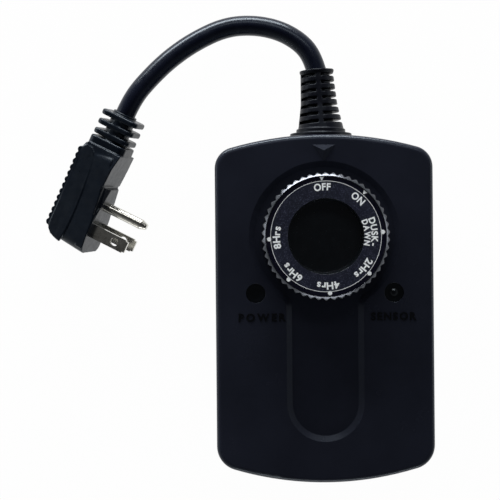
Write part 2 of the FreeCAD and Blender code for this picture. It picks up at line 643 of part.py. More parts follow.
def selector_knob():
    body = new_body("SelectorKnob")
    top = "knob_height"
    plate = f"({top} - knob_plate_drop)"
    under = f"({plate} - knob_plate)"
    dish = "(knob_height - dish_depth)"
    dish_low = "(dish_radius - dish_taper)"
    section = [
        ("0", "knob_hub_lift"), ("knob_hub_radius", "knob_hub_lift"),
        ("knob_hub_radius", f"{dish} - dish_floor"), (f"{dish_low} + dish_wall", f"{dish} - dish_floor"),
        ("dish_radius + dish_wall", under), ("knob_radius - knob_skirt", under),
        ("knob_radius - knob_skirt", "0"), ("knob_radius", "0"), ("knob_radius", f"{top} - knob_chamfer"),
        ("knob_radius - knob_bevel", top), ("knob_rim_inner", top), ("knob_rim_inner", plate),
        ("dish_radius", plate), (dish_low, dish), ("0", dish)]
    revolution(body, new_sketch(body, "XZ", "0", [section]))
    bore = ("0", "0", "shaft_radius + fit_gap")
    pocket(body, new_sketch(body, "XY", "knob_hub_lift", [bore]), "knob_bore_depth", True)
    flat = rectangle("0", "shaft_radius + fit_gap", "2 * shaft_radius", "2 * shaft_flat")
    pad(body, new_sketch(body, "XY", "knob_hub_lift", [flat]), "knob_bore_depth")
    tooth = [("knob_radius - tooth_depth", "0"), ("knob_radius + tooth_depth", "-tooth_width / 2"),
             ("knob_radius + tooth_depth", "tooth_width / 2")]
    valley = new_sketch(body, "XY", "0", [tooth])
    groove = pocket(body, valley, "knob_height", True)
    teeth = body.newObject("PartDesign::PolarPattern", "Teeth")
    teeth.Originals = [groove]
    teeth.Axis = (valley, ["N_Axis"])
    teeth.Angle = 360
    bind(teeth, {"Occurrences": "knob_teeth"})
    body.Tip = teeth
    keep(seat(body, on_knob_axis(KNOB_BASE)), "selector_knob")


def dial_label():
    top = f"{KNOB_BASE} + knob_height - knob_plate_drop"
    label = ring(on_knob_axis(top), "knob_rim_inner - label_margin", "dish_radius + label_margin",
                 "label_thickness")
    keep(label, "dial_label")


ROTOR_BASE = "(board_height + board_thickness + switch_floor + rotor_lift)"
SWITCH_TOP = "(board_height + board_thickness + switch_depth)"


def switch_shaft():
    top = f"{KNOB_BASE} + knob_hub_lift + knob_bore_depth - trim_gap"
    rod = cylinder(on_knob_axis(ROTOR_BASE), "shaft_radius", f"{top} - {ROTOR_BASE}")
    flat = box(("-shaft_radius", "knob_y + shaft_radius - shaft_flat",
                f"{KNOB_BASE} + knob_hub_lift - piece_gap"),
               ("2 * shaft_radius", "2 * shaft_flat", "2 * knob_bore_depth"))
    keep(cut(rod, flat), "switch_shaft")


def shaft_seals():
    """Round seal in the collar of the shell, and the bush that holds it up."""
    top = f"({INNER_FACE} - collar_length + seal_pocket_depth)"
    seal = hoop(on_knob_axis(f"{top} - seal_section"), "shaft_radius + piece_gap + seal_section",
                "seal_section")
    keep(seal, "shaft_seal")
    bush = ring(on_knob_axis(f"{top} - 2 * seal_section - bush_length"), "seal_pocket - fit_gap",
                "shaft_radius + shaft_clearance", "bush_length")
    keep(bush, "shaft_bush")


def switch_housing():
    """Square cup of the rotary switch on the board, with a side pocket for the detent spring."""
    base = BOARD_TOP
    wall = block(on_knob_axis(base), ("switch_side", "switch_side", "switch_depth"))
    bowl = cylinder(on_knob_axis(f"{base} + switch_floor"), "rotor_radius + rotor_gap", "switch_depth")
    side = block(("0", "knob_y + rotor_radius + detent_nose",
                  f"{base} + switch_floor + rotor_lift - trim_gap"),
                 ("detent_length + 2 * trim_gap", "2 * detent_nose + 3 * trim_gap", "switch_depth"))
    keep(cut(wall, bowl, side), "switch_housing")
    plate = block(on_knob_axis(SWITCH_TOP), ("switch_side", "switch_side", "switch_cover"))
    hole = cylinder(on_knob_axis(SWITCH_TOP), "shaft_radius + shaft_clearance", "switch_cover")
    keep(cut(plate, hole), "switch_cover")


def switch_rotor():
    body = new_body("SwitchRotor")
    disc = [("0", "0", "rotor_radius"), ("0", "0", "shaft_radius + fit_gap")]
    pad(body, new_sketch(body, "XY", "0", disc), "rotor_depth")
    notch = [("0", "rotor_radius - rotor_notch"), ("notch_half", "rotor_radius + trim_gap"),
             ("-notch_half", "rotor_radius + trim_gap")]
    sketch = new_sketch(body, "XY", "0", [notch])
    first = pocket(body, sketch, "rotor_depth", True)
    notches = body.newObject("PartDesign::PolarPattern", "Notches")
    notches.Originals = [first]
    notches.Axis = (sketch, ["N_Axis"])
    notches.Angle = 360
    bind(notches, {"Occurrences": "positions"})
    body.Tip = notches
    keep(seat(body, on_knob_axis(ROTOR_BASE)), "switch_rotor")


def switch_contacts():
    """Pads on the switch floor, one for each position and a common ring, and the wiper that joins them."""
    floor = f"({BOARD_TOP} + switch_floor)"
    bore = "(shaft_radius + 2 * trim_gap)"
    pads = [ring(on_knob_axis(floor), f"{bore} + contact_ring", bore, "contact_plate")]
    reach = "(rotor_radius - contact_inset)"
    for turn in range(int(value("positions")) - 1):
        angle = f"({turn} * 360 / positions)"
        x = f"{reach} * cos({angle} * 1deg)"
        y = f"knob_y + {reach} * sin({angle} * 1deg)"
        pads.append(cylinder((x, y, floor), "contact_radius", "contact_plate"))
    keep(group(*pads), "fixed_contacts")
    height = f"({ROTOR_BASE} - wiper_plate)"
    arm = box(("0", "knob_y - wiper_width / 2", height),
              (f"{reach} + 2 * wiper_tip", "wiper_width", "wiper_plate"))
    hub = cylinder(on_knob_axis(height), f"{bore} + contact_ring", "wiper_plate")
    tip = ball((reach, "knob_y", f"{height} + fit_gap"), "wiper_tip")
    keep(fuse(arm, hub, tip), "wiper_contact")


def detent_spring():
    """Flat spring beside the rotor, with a round nose at the notches."""
    z = ROTOR_BASE
    leaf = block(("0", "knob_y + rotor_radius + detent_gap + 1.5 * detent_nose", z),
                 ("detent_length", "detent_leaf", "detent_height"))
    nose = cylinder(("0", "knob_y + rotor_radius + detent_gap + detent_nose", z), "detent_nose",
                    "detent_height")
    keep(fuse(leaf, nose), "detent_spring")


# Windows

def lenses():
    for side, name in (("-", "power_lens"), ("", "sensor_lens")):
        x = f"{side} window_x"
        window = cylinder((x, "window_y", FLANGE_TOP), "window_radius - piece_gap",
                          f"{LENS_TOP} - {FLANGE_TOP}")
        flange = cylinder((x, "window_y", f"{FLANGE_TOP} - lens_flange"), "lens_flange_radius", "lens_flange")
        keep(fuse(window, flange), name)
    washers = [ring((f"{side} window_x", "window_y", FLANGE_TOP), "lens_flange_radius",
                    "window_radius", "seal_washer") for side in ("-", "")]
    keep(group(*washers), "lens_seals")


def leads(x, y, length, base=BOARD_TOP):
    """Two square leads of a small part, side by side along X."""
    return [block((f"{x} {side} lead_pitch / 2", y, base), ("lead_size", "lead_size", length))
            for side in ("-", "+")]


def power_light():
    x = "-window_x"
    foot = f"({BOARD_TOP} + light_stand)"
    legs = leads(x, "window_y", "light_stand")
    rim = cylinder((x, "window_y", foot), "light_radius + light_rim", "light_rim_height")
    barrel = cylinder((x, "window_y", foot), "light_radius", "light_length")
    dome = ball((x, "window_y", f"{foot} + light_length"), "light_radius")
    keep(fuse(rim, barrel, dome, *legs), "power_led")


def photocell():
    legs = leads("window_x", "window_y", "photocell_stand")
    cell = cylinder(("window_x", "window_y", f"{BOARD_TOP} + photocell_stand"), "photocell_radius",
                    "photocell_depth")
    keep(fuse(cell, *legs), "photocell")


# Circuit board, its parts under it, and its screws

def circuit_board():
    body = new_body("CircuitBoard")
    edge = [rectangle("0", "board_y", "board_width", "board_length", "board_corner")]
    edge += [(x, y, "screw_radius + screw_hole_gap") for x, y in POSTS]
    pad(body, new_sketch(body, "XY", "board_height", edge), "board_thickness")
    keep(body, "circuit_board")
    screws = [screw(x, y, "board_height", "board_screw_length") for x, y in POSTS]
    keep(group(*screws), "board_screws")


def hung_block(part):
    """Square component on the rear of the board."""
    return block((f"{part}_x", f"board_y + {part}_y", f"board_height - {part}_height"),
                 (f"{part}_width", f"{part}_length", f"{part}_height"))


def hung_can(part):
    """Round component that stands on the rear of the board."""
    return cylinder((f"{part}_x", f"board_y + {part}_y", f"board_height - {part}_height"),
                    f"{part}_radius", f"{part}_height")


def lying_can(part, x, y, axis):
    """Round component that lies against the rear of the board."""
    return cylinder((x, f"board_y + {y}", f"board_height - {part}_radius"), f"{part}_radius",
                    f"{part}_length", axis)


def board_parts():
    keep(hung_block("relay"), "relay")
    keep(hung_block("film"), "film_capacitor")
    keep(group(hung_can("large_can"), hung_can("small_can")), "smoothing_capacitors")
    keep(hung_block("varistor"), "varistor")
    keep(hung_block("chip"), "controller_chip")
    keep(lying_can("fuse", "fuse_x", "fuse_y", "x"), "board_fuse")
    diodes = [lying_can("diode", f"diode_x + {n} * diode_pitch", "diode_y", "y")
              for n in range(int(value("diodes")))]
    keep(group(*diodes), "diodes")
    resistors = [lying_can("resistor", "resistor_x", f"resistor_y + {n} * resistor_pitch", "x")
                 for n in range(int(value("resistors")))]
    keep(group(*resistors), "resistors")
    keep(hung_can("transistor"), "relay_transistor")


# Outlets

def outlet_pattern(make):
    """Call a maker for each slot: outlet sign, X of the slot, Z of its middle and its kind."""
    made = []
    for side in ("-", ""):
        centre = f"{side} outlet_x"
        z = "(outlet_z + pattern_lift)"
        made.append(make(f"({centre} + blade_pitch / 2)", z, "hot"))
        made.append(make(f"({centre} - blade_pitch / 2)", z, "neutral"))
        made.append(make(f"({centre})", f"({z} - ground_drop)", "ground"))
    return made


def outlet_face():
    body = new_body("OutletFace")
    slab = rectangle("0", "outlet_z", "2 * slab_half", "slab_height", "slab_corner")
    pad(body, new_sketch(body, "XZ", SLAB_BACK, [slab]), "slab_depth")
    faces = [rectangle(f"{side} outlet_x", "outlet_z", "outlet_width", "outlet_height",
                       "outlet_corner - outlet_gap") for side in ("-", "")]
    pad(body, new_sketch(body, "XZ", END_WALL, faces), "outlet_stand")

    def opening(x, z, kind):
        if kind == "ground":
            return (x, z, "ground_hole")
        return rectangle(x, z, "slot_width", f"{kind}_slot")
    front = f"{END_WALL} + outlet_stand"
    pocket(body, new_sketch(body, "XZ", front, outlet_pattern(opening)), "slab_depth + outlet_stand")
    pilots = [(f"{side} (base_half - base_side / 2)", "outlet_z", "screw_pilot") for side in ("-", "")]
    pocket(body, new_sketch(body, "XZ", SLAB_BACK, pilots), "slab_depth - screw_room / 2", True)
    keep(body, "outlet_face")


def outlet_base():
    outer = block(("0", f"-({BASE_BACK} + base_depth / 2)", "base_foot"),
                  ("2 * base_half", "base_depth", "base_top - base_foot"))
    hollow = block(("0", f"-({BASE_BACK} + base_depth / 2 + base_wall / 2)", "base_foot + base_wall"),
                   ("2 * (base_half - base_side)", "base_depth - base_wall",
                    "base_top - base_foot - 2 * base_wall"))
    holes = [cylinder((f"{side} (base_half - base_side / 2)", f"-{SLAB_BACK} - trim_gap", "outlet_z"),
                      "screw_radius", "base_depth + 2 * trim_gap", "y") for side in ("-", "")]
    keep(cut(outer, hollow, *holes), "outlet_base")
    length = "(base_depth + slab_depth - screw_room)"
    screws = []
    for side in ("-", ""):
        x = f"{side} (base_half - base_side / 2)"
        shank = cylinder((x, f"-{BASE_BACK} - {length}", "outlet_z"), "screw_pilot - fit_gap", length, "y")
        head = cylinder((x, f"-{BASE_BACK}", "outlet_z"), "screw_head", "screw_head_depth", "y")
        slot = box((f"{x} - screw_slot / 2", f"-{BASE_BACK} + screw_head_depth - screw_slot",
                    "outlet_z - 1.5 * screw_head"), ("screw_slot", "2 * screw_slot", "3 * screw_head"))
        screws.append(cut(fuse(shank, head), slot))
    keep(group(*screws), "outlet_screws")


LEAF_FRONT = f"({SLAB_BACK} - leaf_set)"
BUS_FRONT = f"({BASE_BACK} + base_wall + bus_thickness)"


def outlet_contacts():
    """Spring leaves behind each slot, joined by one bus bar for each line."""
    parts = {"hot": [], "neutral": [], "ground": []}
    depth = f"({LEAF_FRONT} - {BUS_FRONT})"

    def leaves(x, z, kind):
        if kind == "ground":
            parts[kind].append(ring((x, f"-{LEAF_FRONT}", z), "ground_hole + leaf_thickness", "ground_hole",
                                    depth, "y"))
            return
        shift = "leaf_shift" if kind == "hot" else "-leaf_shift"
        for side in ("-", "+"):
            middle = f"{x} {side} (leaf_gap + leaf_thickness) / 2"
            parts[kind].append(box((f"{middle} - leaf_thickness / 2", f"-{LEAF_FRONT}",
                                    f"{z} + {shift} - leaf_height / 2"),
                                   ("leaf_thickness", depth, "leaf_height")))
    outlet_pattern(leaves)
    z = "(outlet_z + pattern_lift)"
    half = "leaf_gap / 2 + leaf_thickness"
    rows = {"hot": (f"{z} + leaf_shift + leaf_height / 2 - bus_height", "bus_height", "blade_pitch / 2"),
            "neutral": (f"{z} - leaf_shift - leaf_height / 2", "bus_height", "-blade_pitch / 2"),
            "ground": (f"{z} - ground_drop - ground_bus_height / 2", "ground_bus_height", "0")}
    for kind, (low, height, shift) in rows.items():
        bus = block((shift, f"-({BUS_FRONT} - bus_thickness / 2)", low),
                    (f"2 * (outlet_x + {half})", "bus_thickness", height))
        keep(fuse(bus, *parts[kind]), f"{kind}_contacts")


# Cord boot, clamp, cord and inner wires

BOOT_WALL = "(case_length / 2)"
TAIL_START = "(case_length / 2 - case_wall - boot_lock - tail_length)"

# Middle line of the free cord from the tip of the boot to the plug's neck: X, Y and Z
ROUTE = [(-1.96, 109.9, 22), (-3.8, 116.29, 21.95), (-9.11, 122.95, 21.7), (-18.63, 128.72, 20.9),
         (-31.01, 131.51, 19.9), (-44.24, 130.65, 19.1), (-57.94, 124.47, 18.8), (-69.74, 116.47, 19),
         (-79.67, 107.02, 19.6), (-87.48, 97.7, 20.4), (-90.9, 90.5, 19.3)]

# Where the cord starts to bend inside the boot, and how far before the tip it has its final direction
TAIL_BEND = (0.1, 93.5, 22)
TAIL_LEAD = 0.83


def power_cord_parts():
    """Cord from the clamp to the boot's tip and the free cord beyond it, with the boot and the clamp."""
    tip, beyond = Vector(*ROUTE[0]), Vector(*ROUTE[1])
    lead = tip - (beyond - tip) * TAIL_LEAD
    tail = [(0, value(TAIL_START), value("split_height")), TAIL_BEND, tuple(lead), ROUTE[0]]
    tail_solid = tube_part("cord_tail", tail, value("cord_radius"))
    cord_solid = tube_part("power_cord", ROUTE, value("cord_radius"))
    strain_relief_boot(tail_solid, cord_solid)
    clamp(tail_solid)


def boot_sleeve(foot_y):
    """Slotted sleeve of the boot, built upright from its own foot, then leant and seated as one piece.

    The slots leave a web above, below and on the left, so that side's outline stays unbroken.
    """
    low = cone(("0", "0", "0"), "boot_base_radius", "boot_mid_radius", "boot_mid_length")
    high = cone(("0", "0", "boot_mid_length"), "boot_mid_radius", "boot_tip_radius", "boot_tip_length")
    total = "(boot_mid_length + boot_tip_length)"
    cap = cylinder(("0", "0", f"{total} - boot_cap"), "boot_tip_radius + boot_cap_rise", "boot_cap")
    slots = []
    for count in range(int(value("boot_slots"))):
        level = f"({total} - boot_first_slot + boot_slot - {count} * boot_slot_pitch)"
        slots.append(ring(("0", "0", level), "2 * boot_base_radius", "boot_slot_radius", "boot_slot"))
    spine = block(("0", "0", "0"), ("boot_spine", "4 * boot_base_radius", total))
    web = block(("-boot_base_radius", "0", "0"), ("2 * boot_base_radius", "boot_spine", total))
    sleeve = cut(fuse(low, high, cap), cut(fuse(*slots), spine, web))
    lean = Rotation(Vector(0, 0, 1), value("boot_lean"))
    sleeve.Placement = Placement(Vector(), lean * TURN["y"])
    return seat(sleeve, ("0", foot_y, "split_height"))


def strain_relief_boot(tail_solid, cord_solid):
    """Moulded boot: a lock ring inside the wall, flange and collar outside it, and a leaning sleeve."""
    lock_y = f"{BOOT_WALL} - case_wall - boot_lock - boot_lock_gap"
    flange_y = f"{BOOT_WALL} + boot_seat_gap"
    collar_y = f"{flange_y} + boot_flange"
    lock = cylinder(("0", lock_y, "split_height"), "boot_lock_radius", "boot_lock", "y")
    neck = cylinder(("0", lock_y, "split_height"), "boot_neck_radius",
                    "boot_lock + boot_lock_gap + case_wall + boot_flange", "y")
    flange = cylinder(("0", flange_y, "split_height"), "boot_flange_radius", "boot_flange", "y")
    collar = cylinder(("0", collar_y, "split_height"), "boot_collar_radius", "boot_collar", "y")
    sleeve = boot_sleeve(f"{collar_y} + boot_collar - boot_overlap")
    solid = fuse(lock, neck, flange, collar, sleeve)
    keep(cut(solid, tail_solid, cord_solid), "strain_relief_boot")


def clamp(tail_solid):
    """Two saddles that grip the cord inside the case, and the two screws that draw them together."""
    size = ("clamp_width", "clamp_length", "cord_radius + clamp_thickness")
    upper = block(("0", CLAMP_Y, "split_height + clamp_gap"), size)
    lower = block(("0", CLAMP_Y, "split_height - clamp_gap - cord_radius - clamp_thickness"), size)
    wells = [cylinder((f"{side} clamp_screw_x", CLAMP_Y, "split_height - 2 * clamp_screw_length"),
                      "screw_pilot", "4 * clamp_screw_length") for side in ("-", "")]
    keep(group(cut(upper, tail_solid, *wells), cut(lower, tail_solid, *wells)), "cord_clamp")
    top = "(split_height + clamp_gap + cord_radius + clamp_thickness)"
    screws = [screw(f"{side} clamp_screw_x", CLAMP_Y, top, "clamp_screw_length", False) for side in ("-", "")]
    keep(group(*screws), "cord_clamp_screws")


def inner_wires():
    """Leads from the cord's end to the board and the outlets, each with a terminal at its bus bar."""
    start_y = value(TAIL_START)
    mid = value("split_height")
    board = value("board_height")
    floor = value("back_thickness")
    radius = value("wire_radius")
    spread = value("wire_spread")
    drop = value("wire_drop")
    terminal = value("terminal_height")
    bus_y = -value(BASE_BACK)
    reach = bus_y + terminal
    clear = 3 * radius
    top = value("outlet_z + pattern_lift")
    tabs = {
        "hot": (value("outlet_x"), value(f"{top} + leaf_shift + leaf_height / 2 - bus_height / 2")),
        "neutral": (-value("outlet_x"), value(f"{top} - leaf_shift - leaf_height / 2 + bus_height / 2")),
        "ground": (0, value(f"{top} - ground_drop"))}
    terminals = [block((x, bus_y + terminal / 2, z - 1.25 * radius),
                       ("terminal_width", "terminal_height", 2.5 * radius)) for x, z in tabs.values()]
    keep(group(*terminals), "wire_terminals")
    pad_x = value("large_can_x") - value("large_can_radius")
    pad_y = value("board_y + large_can_y + large_can_radius") + clear
    tube_part("hot_wire", [(0, start_y, mid - drop), (0, start_y - 4 * radius, mid - drop),
                           (pad_x / 2, (start_y + pad_y) / 2 - 2 * radius, board - 6 * radius),
                           (pad_x, pad_y, board - 6 * radius), (pad_x, pad_y, board)], radius)
    x, z = tabs["hot"]
    relay_y = value("board_y + relay_y - relay_length / 2")
    board_end = value("board_y - board_length / 2")
    tube_part("switched_wire", [
        (value("relay_x + relay_width / 4"), relay_y + 2 * radius, floor + clear),
        (x / 8, (relay_y + board_end) / 2, floor + clear), (x - clear, board_end, floor + 2 * clear),
        (x, reach + 2 * clear, mid), (x, reach + clear, z), (x, reach, z)], radius)
    side_x = value("case_width / 2 - wire_side_gap")
    board_y = value("board_y")
    turns = (("neutral", -1, value("outlet_x + blade_pitch / 2")), ("ground", 1, 3 * clear))
    for name, side, turn_x in turns:
        x, z = tabs[name]
        first = (side * spread, start_y, mid + radius)
        tube_part(f"{name}_wire", [
            first, (first[0], start_y - 2.6 * radius, first[2]),
            (side * side_x / 3, start_y - 5 * radius, mid / 2 + radius),
            (side * (side_x - 4.6 * radius), start_y - 12 * radius, floor + 4.4 * radius),
            (side * side_x, board_y + clear, floor + clear),
            (side * side_x, board_end + clear, floor + clear),
            (side * turn_x, reach + 2.4 * clear, (floor + clear + z) / 2),
            (x, reach + clear, z), (x, reach, z)], radius)


# Plug, built with the cord's entry at its origin: X along the prongs, Y towards the cord

def plug_place():
    turn = Rotation(value("plug_yaw"), -value("plug_tilt"), value("plug_pitch"))
    return Placement(Vector(value("plug_x"), value("plug_y"), value("plug_z")), turn)


BLADE_Y = "(pin_y + blade_hole_reach)"
PLUG_BODY_TOP = "-plug_neck_length"


def face_reach(y):
    """How far the prong face stands from the cord's line at a distance y below the cord's entry."""
    return f"(plug_front - plug_face_slope * (1 - ({y} - plug_neck_length) / plug_body_length))"


PAD_FACE = f"({face_reach('pin_y')} + face_pad_rise)"


def plug_blank():
    """Plug body: a block that widens towards the prongs, its front sloped and its back in round bumps."""
    body = new_body("PlugBlank")
    back = rectangle(f"{PLUG_BODY_TOP} - plug_body_length / 2 + plug_back_lift", "0", "plug_back_length",
                     "2 * plug_back_half", "plug_corner")
    front = rectangle(f"{PLUG_BODY_TOP} - plug_body_length / 2", "0", "plug_body_length",
                      "2 * plug_front_half", "plug_corner")
    loft = body.newObject("PartDesign::AdditiveLoft", "PlugLoft")
    loft.Profile = new_sketch(body, "YZ", "bump_radius - plug_back", [back])
    loft.Sections = [new_sketch(body, "YZ", "plug_front", [front])]
    loft.Ruled = True
    doc.recompute()
    low = f"({PLUG_BODY_TOP} - plug_body_length)"
    far = "(plug_front + plug_body_length)"
    slope = [("plug_front - plug_face_slope", PLUG_BODY_TOP), ("plug_front", low),
             ("plug_front", f"{low} - plug_corner"), (far, f"{low} - plug_corner"),
             (far, f"{PLUG_BODY_TOP} + plug_corner"),
             ("plug_front - plug_face_slope", f"{PLUG_BODY_TOP} + plug_corner")]
    back_x = "(bump_radius - plug_back)"
    heel_y = f"({PLUG_BODY_TOP} - (plug_body_length + plug_back_length) / 2 + plug_back_lift)"
    inner, outer = f"{back_x} + plug_heel", f"{back_x} - plug_heel"
    above, below = f"{heel_y} + plug_heel", f"{heel_y} - plug_heel"
    heel = [(back_x, above, "plug_heel"), (inner, heel_y), (inner, below), (outer, below), (outer, above)]
    pocket(body, new_sketch(body, "XY", "0", [slope, heel]), "4 * plug_front_half", both_ways=True)
    bump = ("bump_radius - plug_back", f"{PLUG_BODY_TOP} - bump_first", "bump_radius")
    sketch = new_sketch(body, "XY", "0", [bump])
    first = pad(body, sketch, "2 * (plug_back_half - bump_inset)", both_ways=True)
    bumps = body.newObject("PartDesign::LinearPattern", "Bumps")
    bumps.Originals = [first]
    bumps.Direction = (sketch, ["V_Axis"])
    bumps.Reversed = True
    bind(bumps, {"Length": "(bumps - 1) * bump_pitch", "Occurrences": "bumps"})
    body.Tip = bumps
    doc.recompute()
    return body


def plug_neck():
    """Round core of the neck with its bend fins, and the collar above the body."""
    pieces = [cylinder(("0", "-plug_neck_length - plug_lap", "0"), "plug_core_radius",
                       "plug_neck_length + plug_lap", "y")]
    for count in range(int(value("fins"))):
        level = f"-fin_first - fin_thickness - {count} * fin_pitch"
        pieces.append(round_plate(level, "fin_thickness", "fin_width", "fin_height"))
    pieces.append(round_plate("-plug_neck_length - plug_lap", "plug_collar + plug_lap", "fin_width",
                              "fin_height + collar_rise"))
    return pieces


def round_plate(level, depth, width, height):
    """Flat plate across the neck with round corners."""
    body = new_body("NeckPlate")
    outline = rectangle("0", "0", width, height, "fin_corner")
    plate = pad(body, new_sketch(body, "XZ", f"-({level})", [outline]), depth, True)
    round_edges(body, plate, "fin_edge", lambda edge: edge.BoundBox.YLength < LEVEL_SLACK)
    return body


def flat_blade(side):
    """Flat blade with a cross hole and clipped tip corners; its root is held in the core."""
    centre_z = f"{side} blade_pitch / 2"
    flat = box((f"{PAD_FACE} - blade_root", f"-{BLADE_Y} - blade_width / 2",
                f"{centre_z} - blade_thickness / 2"),
               ("blade_root + blade_length", "blade_width", "blade_thickness"))
    hole = cylinder((f"{PAD_FACE} + blade_hole_reach", f"-{BLADE_Y}", f"{centre_z} - blade_thickness"),
                    "blade_hole", "2 * blade_thickness")
    clips = [box((f"{PAD_FACE} + blade_length - blade_nose",
                  f"-{BLADE_Y} {end} (blade_width / 2 + blade_nose / 2) - blade_nose",
                  f"{centre_z} - blade_thickness"),
                 ("2 * blade_nose", "2 * blade_nose", "2 * blade_thickness"))
             for end in ("-", "+")]
    return cut(flat, hole, *clips)


def round_pin():
    """Ground pin with a coned tip; its thinner root is held in the core."""
    root = cylinder((f"{PAD_FACE} - blade_root", "-pin_y", "0"), "pin_root_radius", "2 * blade_root", "x")
    straight = cylinder((PAD_FACE, "-pin_y", "0"), "pin_radius", "pin_length - pin_nose", "x")
    nose = cone((f"{PAD_FACE} + pin_length - pin_nose", "-pin_y", "0"), "pin_radius", "pin_tip_radius",
                "pin_nose", "x")
    return fuse(root, straight, nose)


def plug_parts():
    """Plug body with its hidden core, two blades and the ground pin, seated where the plug lies."""
    blades = [flat_blade(side) for side in ("-", "")]
    pin = round_pin()
    middle = "(pin_y + blade_hole_reach / 2)"
    core_x = f"{PAD_FACE} - face_pad_rise - plug_insert_sink - plug_insert_depth / 2"
    core_blank = block((core_x, f"-{middle}", "-blade_pitch / 2 - blade_thickness - plug_insert_margin"),
                       ("plug_insert_depth", "blade_hole_reach + 1.6 * blade_width",
                        "blade_pitch + 2 * (blade_thickness + plug_insert_margin)"))
    core = cut(core_blank, *blades, pin)
    raised = block((f"{PAD_FACE} - face_pad_depth / 2", f"-{middle}", "-face_pad_half"),
                   ("face_pad_depth", "face_pad_length", "2 * face_pad_half"))
    body = cut(fuse(plug_blank(), *plug_neck(), raised), core_blank, *blades, pin)
    place = plug_place()
    for part, name in ((body, "plug_body"), (core, "plug_core"), (blades[0], "neutral_blade"),
                       (blades[1], "line_blade"), (pin, "ground_pin")):
        holder = doc.addObject("Part::Compound", "Seated")
        holder.Links = [part]
        holder.Placement = place
        keep(holder, name)


# Build, check and write

def build():
    front_shell()
    back_cover()
    case_gasket()
    case_screws()
    selector_knob()
    dial_label()
    switch_shaft()
    shaft_seals()
    switch_housing()
    switch_rotor()
    switch_contacts()
    detent_spring()
    lenses()
    power_light()
    photocell()
    circuit_board()
    board_parts()
    outlet_face()
    outlet_base()
    outlet_contacts()
    power_cord_parts()
    inner_wires()
    plug_parts()
    doc.recompute()


def check():
    """Stop before anything is written if an object failed or a sub-part has no valid shape."""
    for item in doc.Objects:
        if {"Invalid", "Error"} & set(item.State):
            raise RuntimeError(f"{item.Name} ({item.Label}) failed: {item.State}")
    for item in nodes:
        if item.Shape.isNull() or not item.Shape.isValid() or not item.Shape.Solids:
            raise RuntimeError(f"{item.Label} has no valid shape")


build()
check()
os.makedirs("parts", exist_ok=True)
for item in nodes:
    item.Shape.exportStep(f"parts/{item.Label}.step")
print(len(nodes), "sub-parts written")
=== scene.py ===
"""Looks of the outdoor timer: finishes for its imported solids, and finer meshes for the pieces that show.

The frame is the part's own: X across the case, Y towards the cord end and Z out of the face, with the
case's back on the floor. The sizes of the part's pieces are millimetres, as in its source, and MM turns
them into metres.
"""

import json
import logging
import math
from collections.abc import Callable, Iterable, Sequence
from dataclasses import dataclass
from enum import Enum
from functools import cache

import bmesh
import bpy
from bmesh.types import BMesh, BMVert
from bpy.types import ID, Material, Mesh, Node, NodeSocket, Object, World
from mathutils import Euler, Matrix, Vector


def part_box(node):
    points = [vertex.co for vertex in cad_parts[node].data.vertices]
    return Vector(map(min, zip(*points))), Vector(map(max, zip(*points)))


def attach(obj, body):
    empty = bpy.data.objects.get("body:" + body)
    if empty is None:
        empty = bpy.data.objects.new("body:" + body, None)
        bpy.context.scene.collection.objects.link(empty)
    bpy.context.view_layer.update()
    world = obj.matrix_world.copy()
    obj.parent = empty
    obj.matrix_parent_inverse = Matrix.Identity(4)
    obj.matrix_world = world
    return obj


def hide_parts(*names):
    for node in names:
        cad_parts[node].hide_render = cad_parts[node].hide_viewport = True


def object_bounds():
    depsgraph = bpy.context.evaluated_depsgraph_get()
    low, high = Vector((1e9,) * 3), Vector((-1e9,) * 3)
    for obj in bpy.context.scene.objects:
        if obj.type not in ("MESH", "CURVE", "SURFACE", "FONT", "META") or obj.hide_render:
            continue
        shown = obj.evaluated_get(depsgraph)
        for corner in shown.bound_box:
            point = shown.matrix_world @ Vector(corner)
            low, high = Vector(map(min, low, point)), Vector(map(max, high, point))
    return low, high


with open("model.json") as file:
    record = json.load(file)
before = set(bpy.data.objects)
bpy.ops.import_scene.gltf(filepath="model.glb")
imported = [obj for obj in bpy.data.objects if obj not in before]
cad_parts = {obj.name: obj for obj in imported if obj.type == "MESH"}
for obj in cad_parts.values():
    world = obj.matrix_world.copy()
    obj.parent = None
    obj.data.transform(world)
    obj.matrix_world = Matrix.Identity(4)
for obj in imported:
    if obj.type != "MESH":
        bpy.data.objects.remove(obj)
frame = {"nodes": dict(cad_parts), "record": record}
CAD_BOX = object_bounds()

MM = 0.001
CASE_BODY = "case"
KNOB_BODY = "selector"

Pair = tuple[float, float]
Triple = tuple[float, float, float]
Colour = Triple
Ring = list[BMVert]

log = logging.getLogger("outdoor_timer")


# Node trees

# Noise lies mostly between these two values.
NOISE_START = 0.3
NOISE_STOP = 0.7


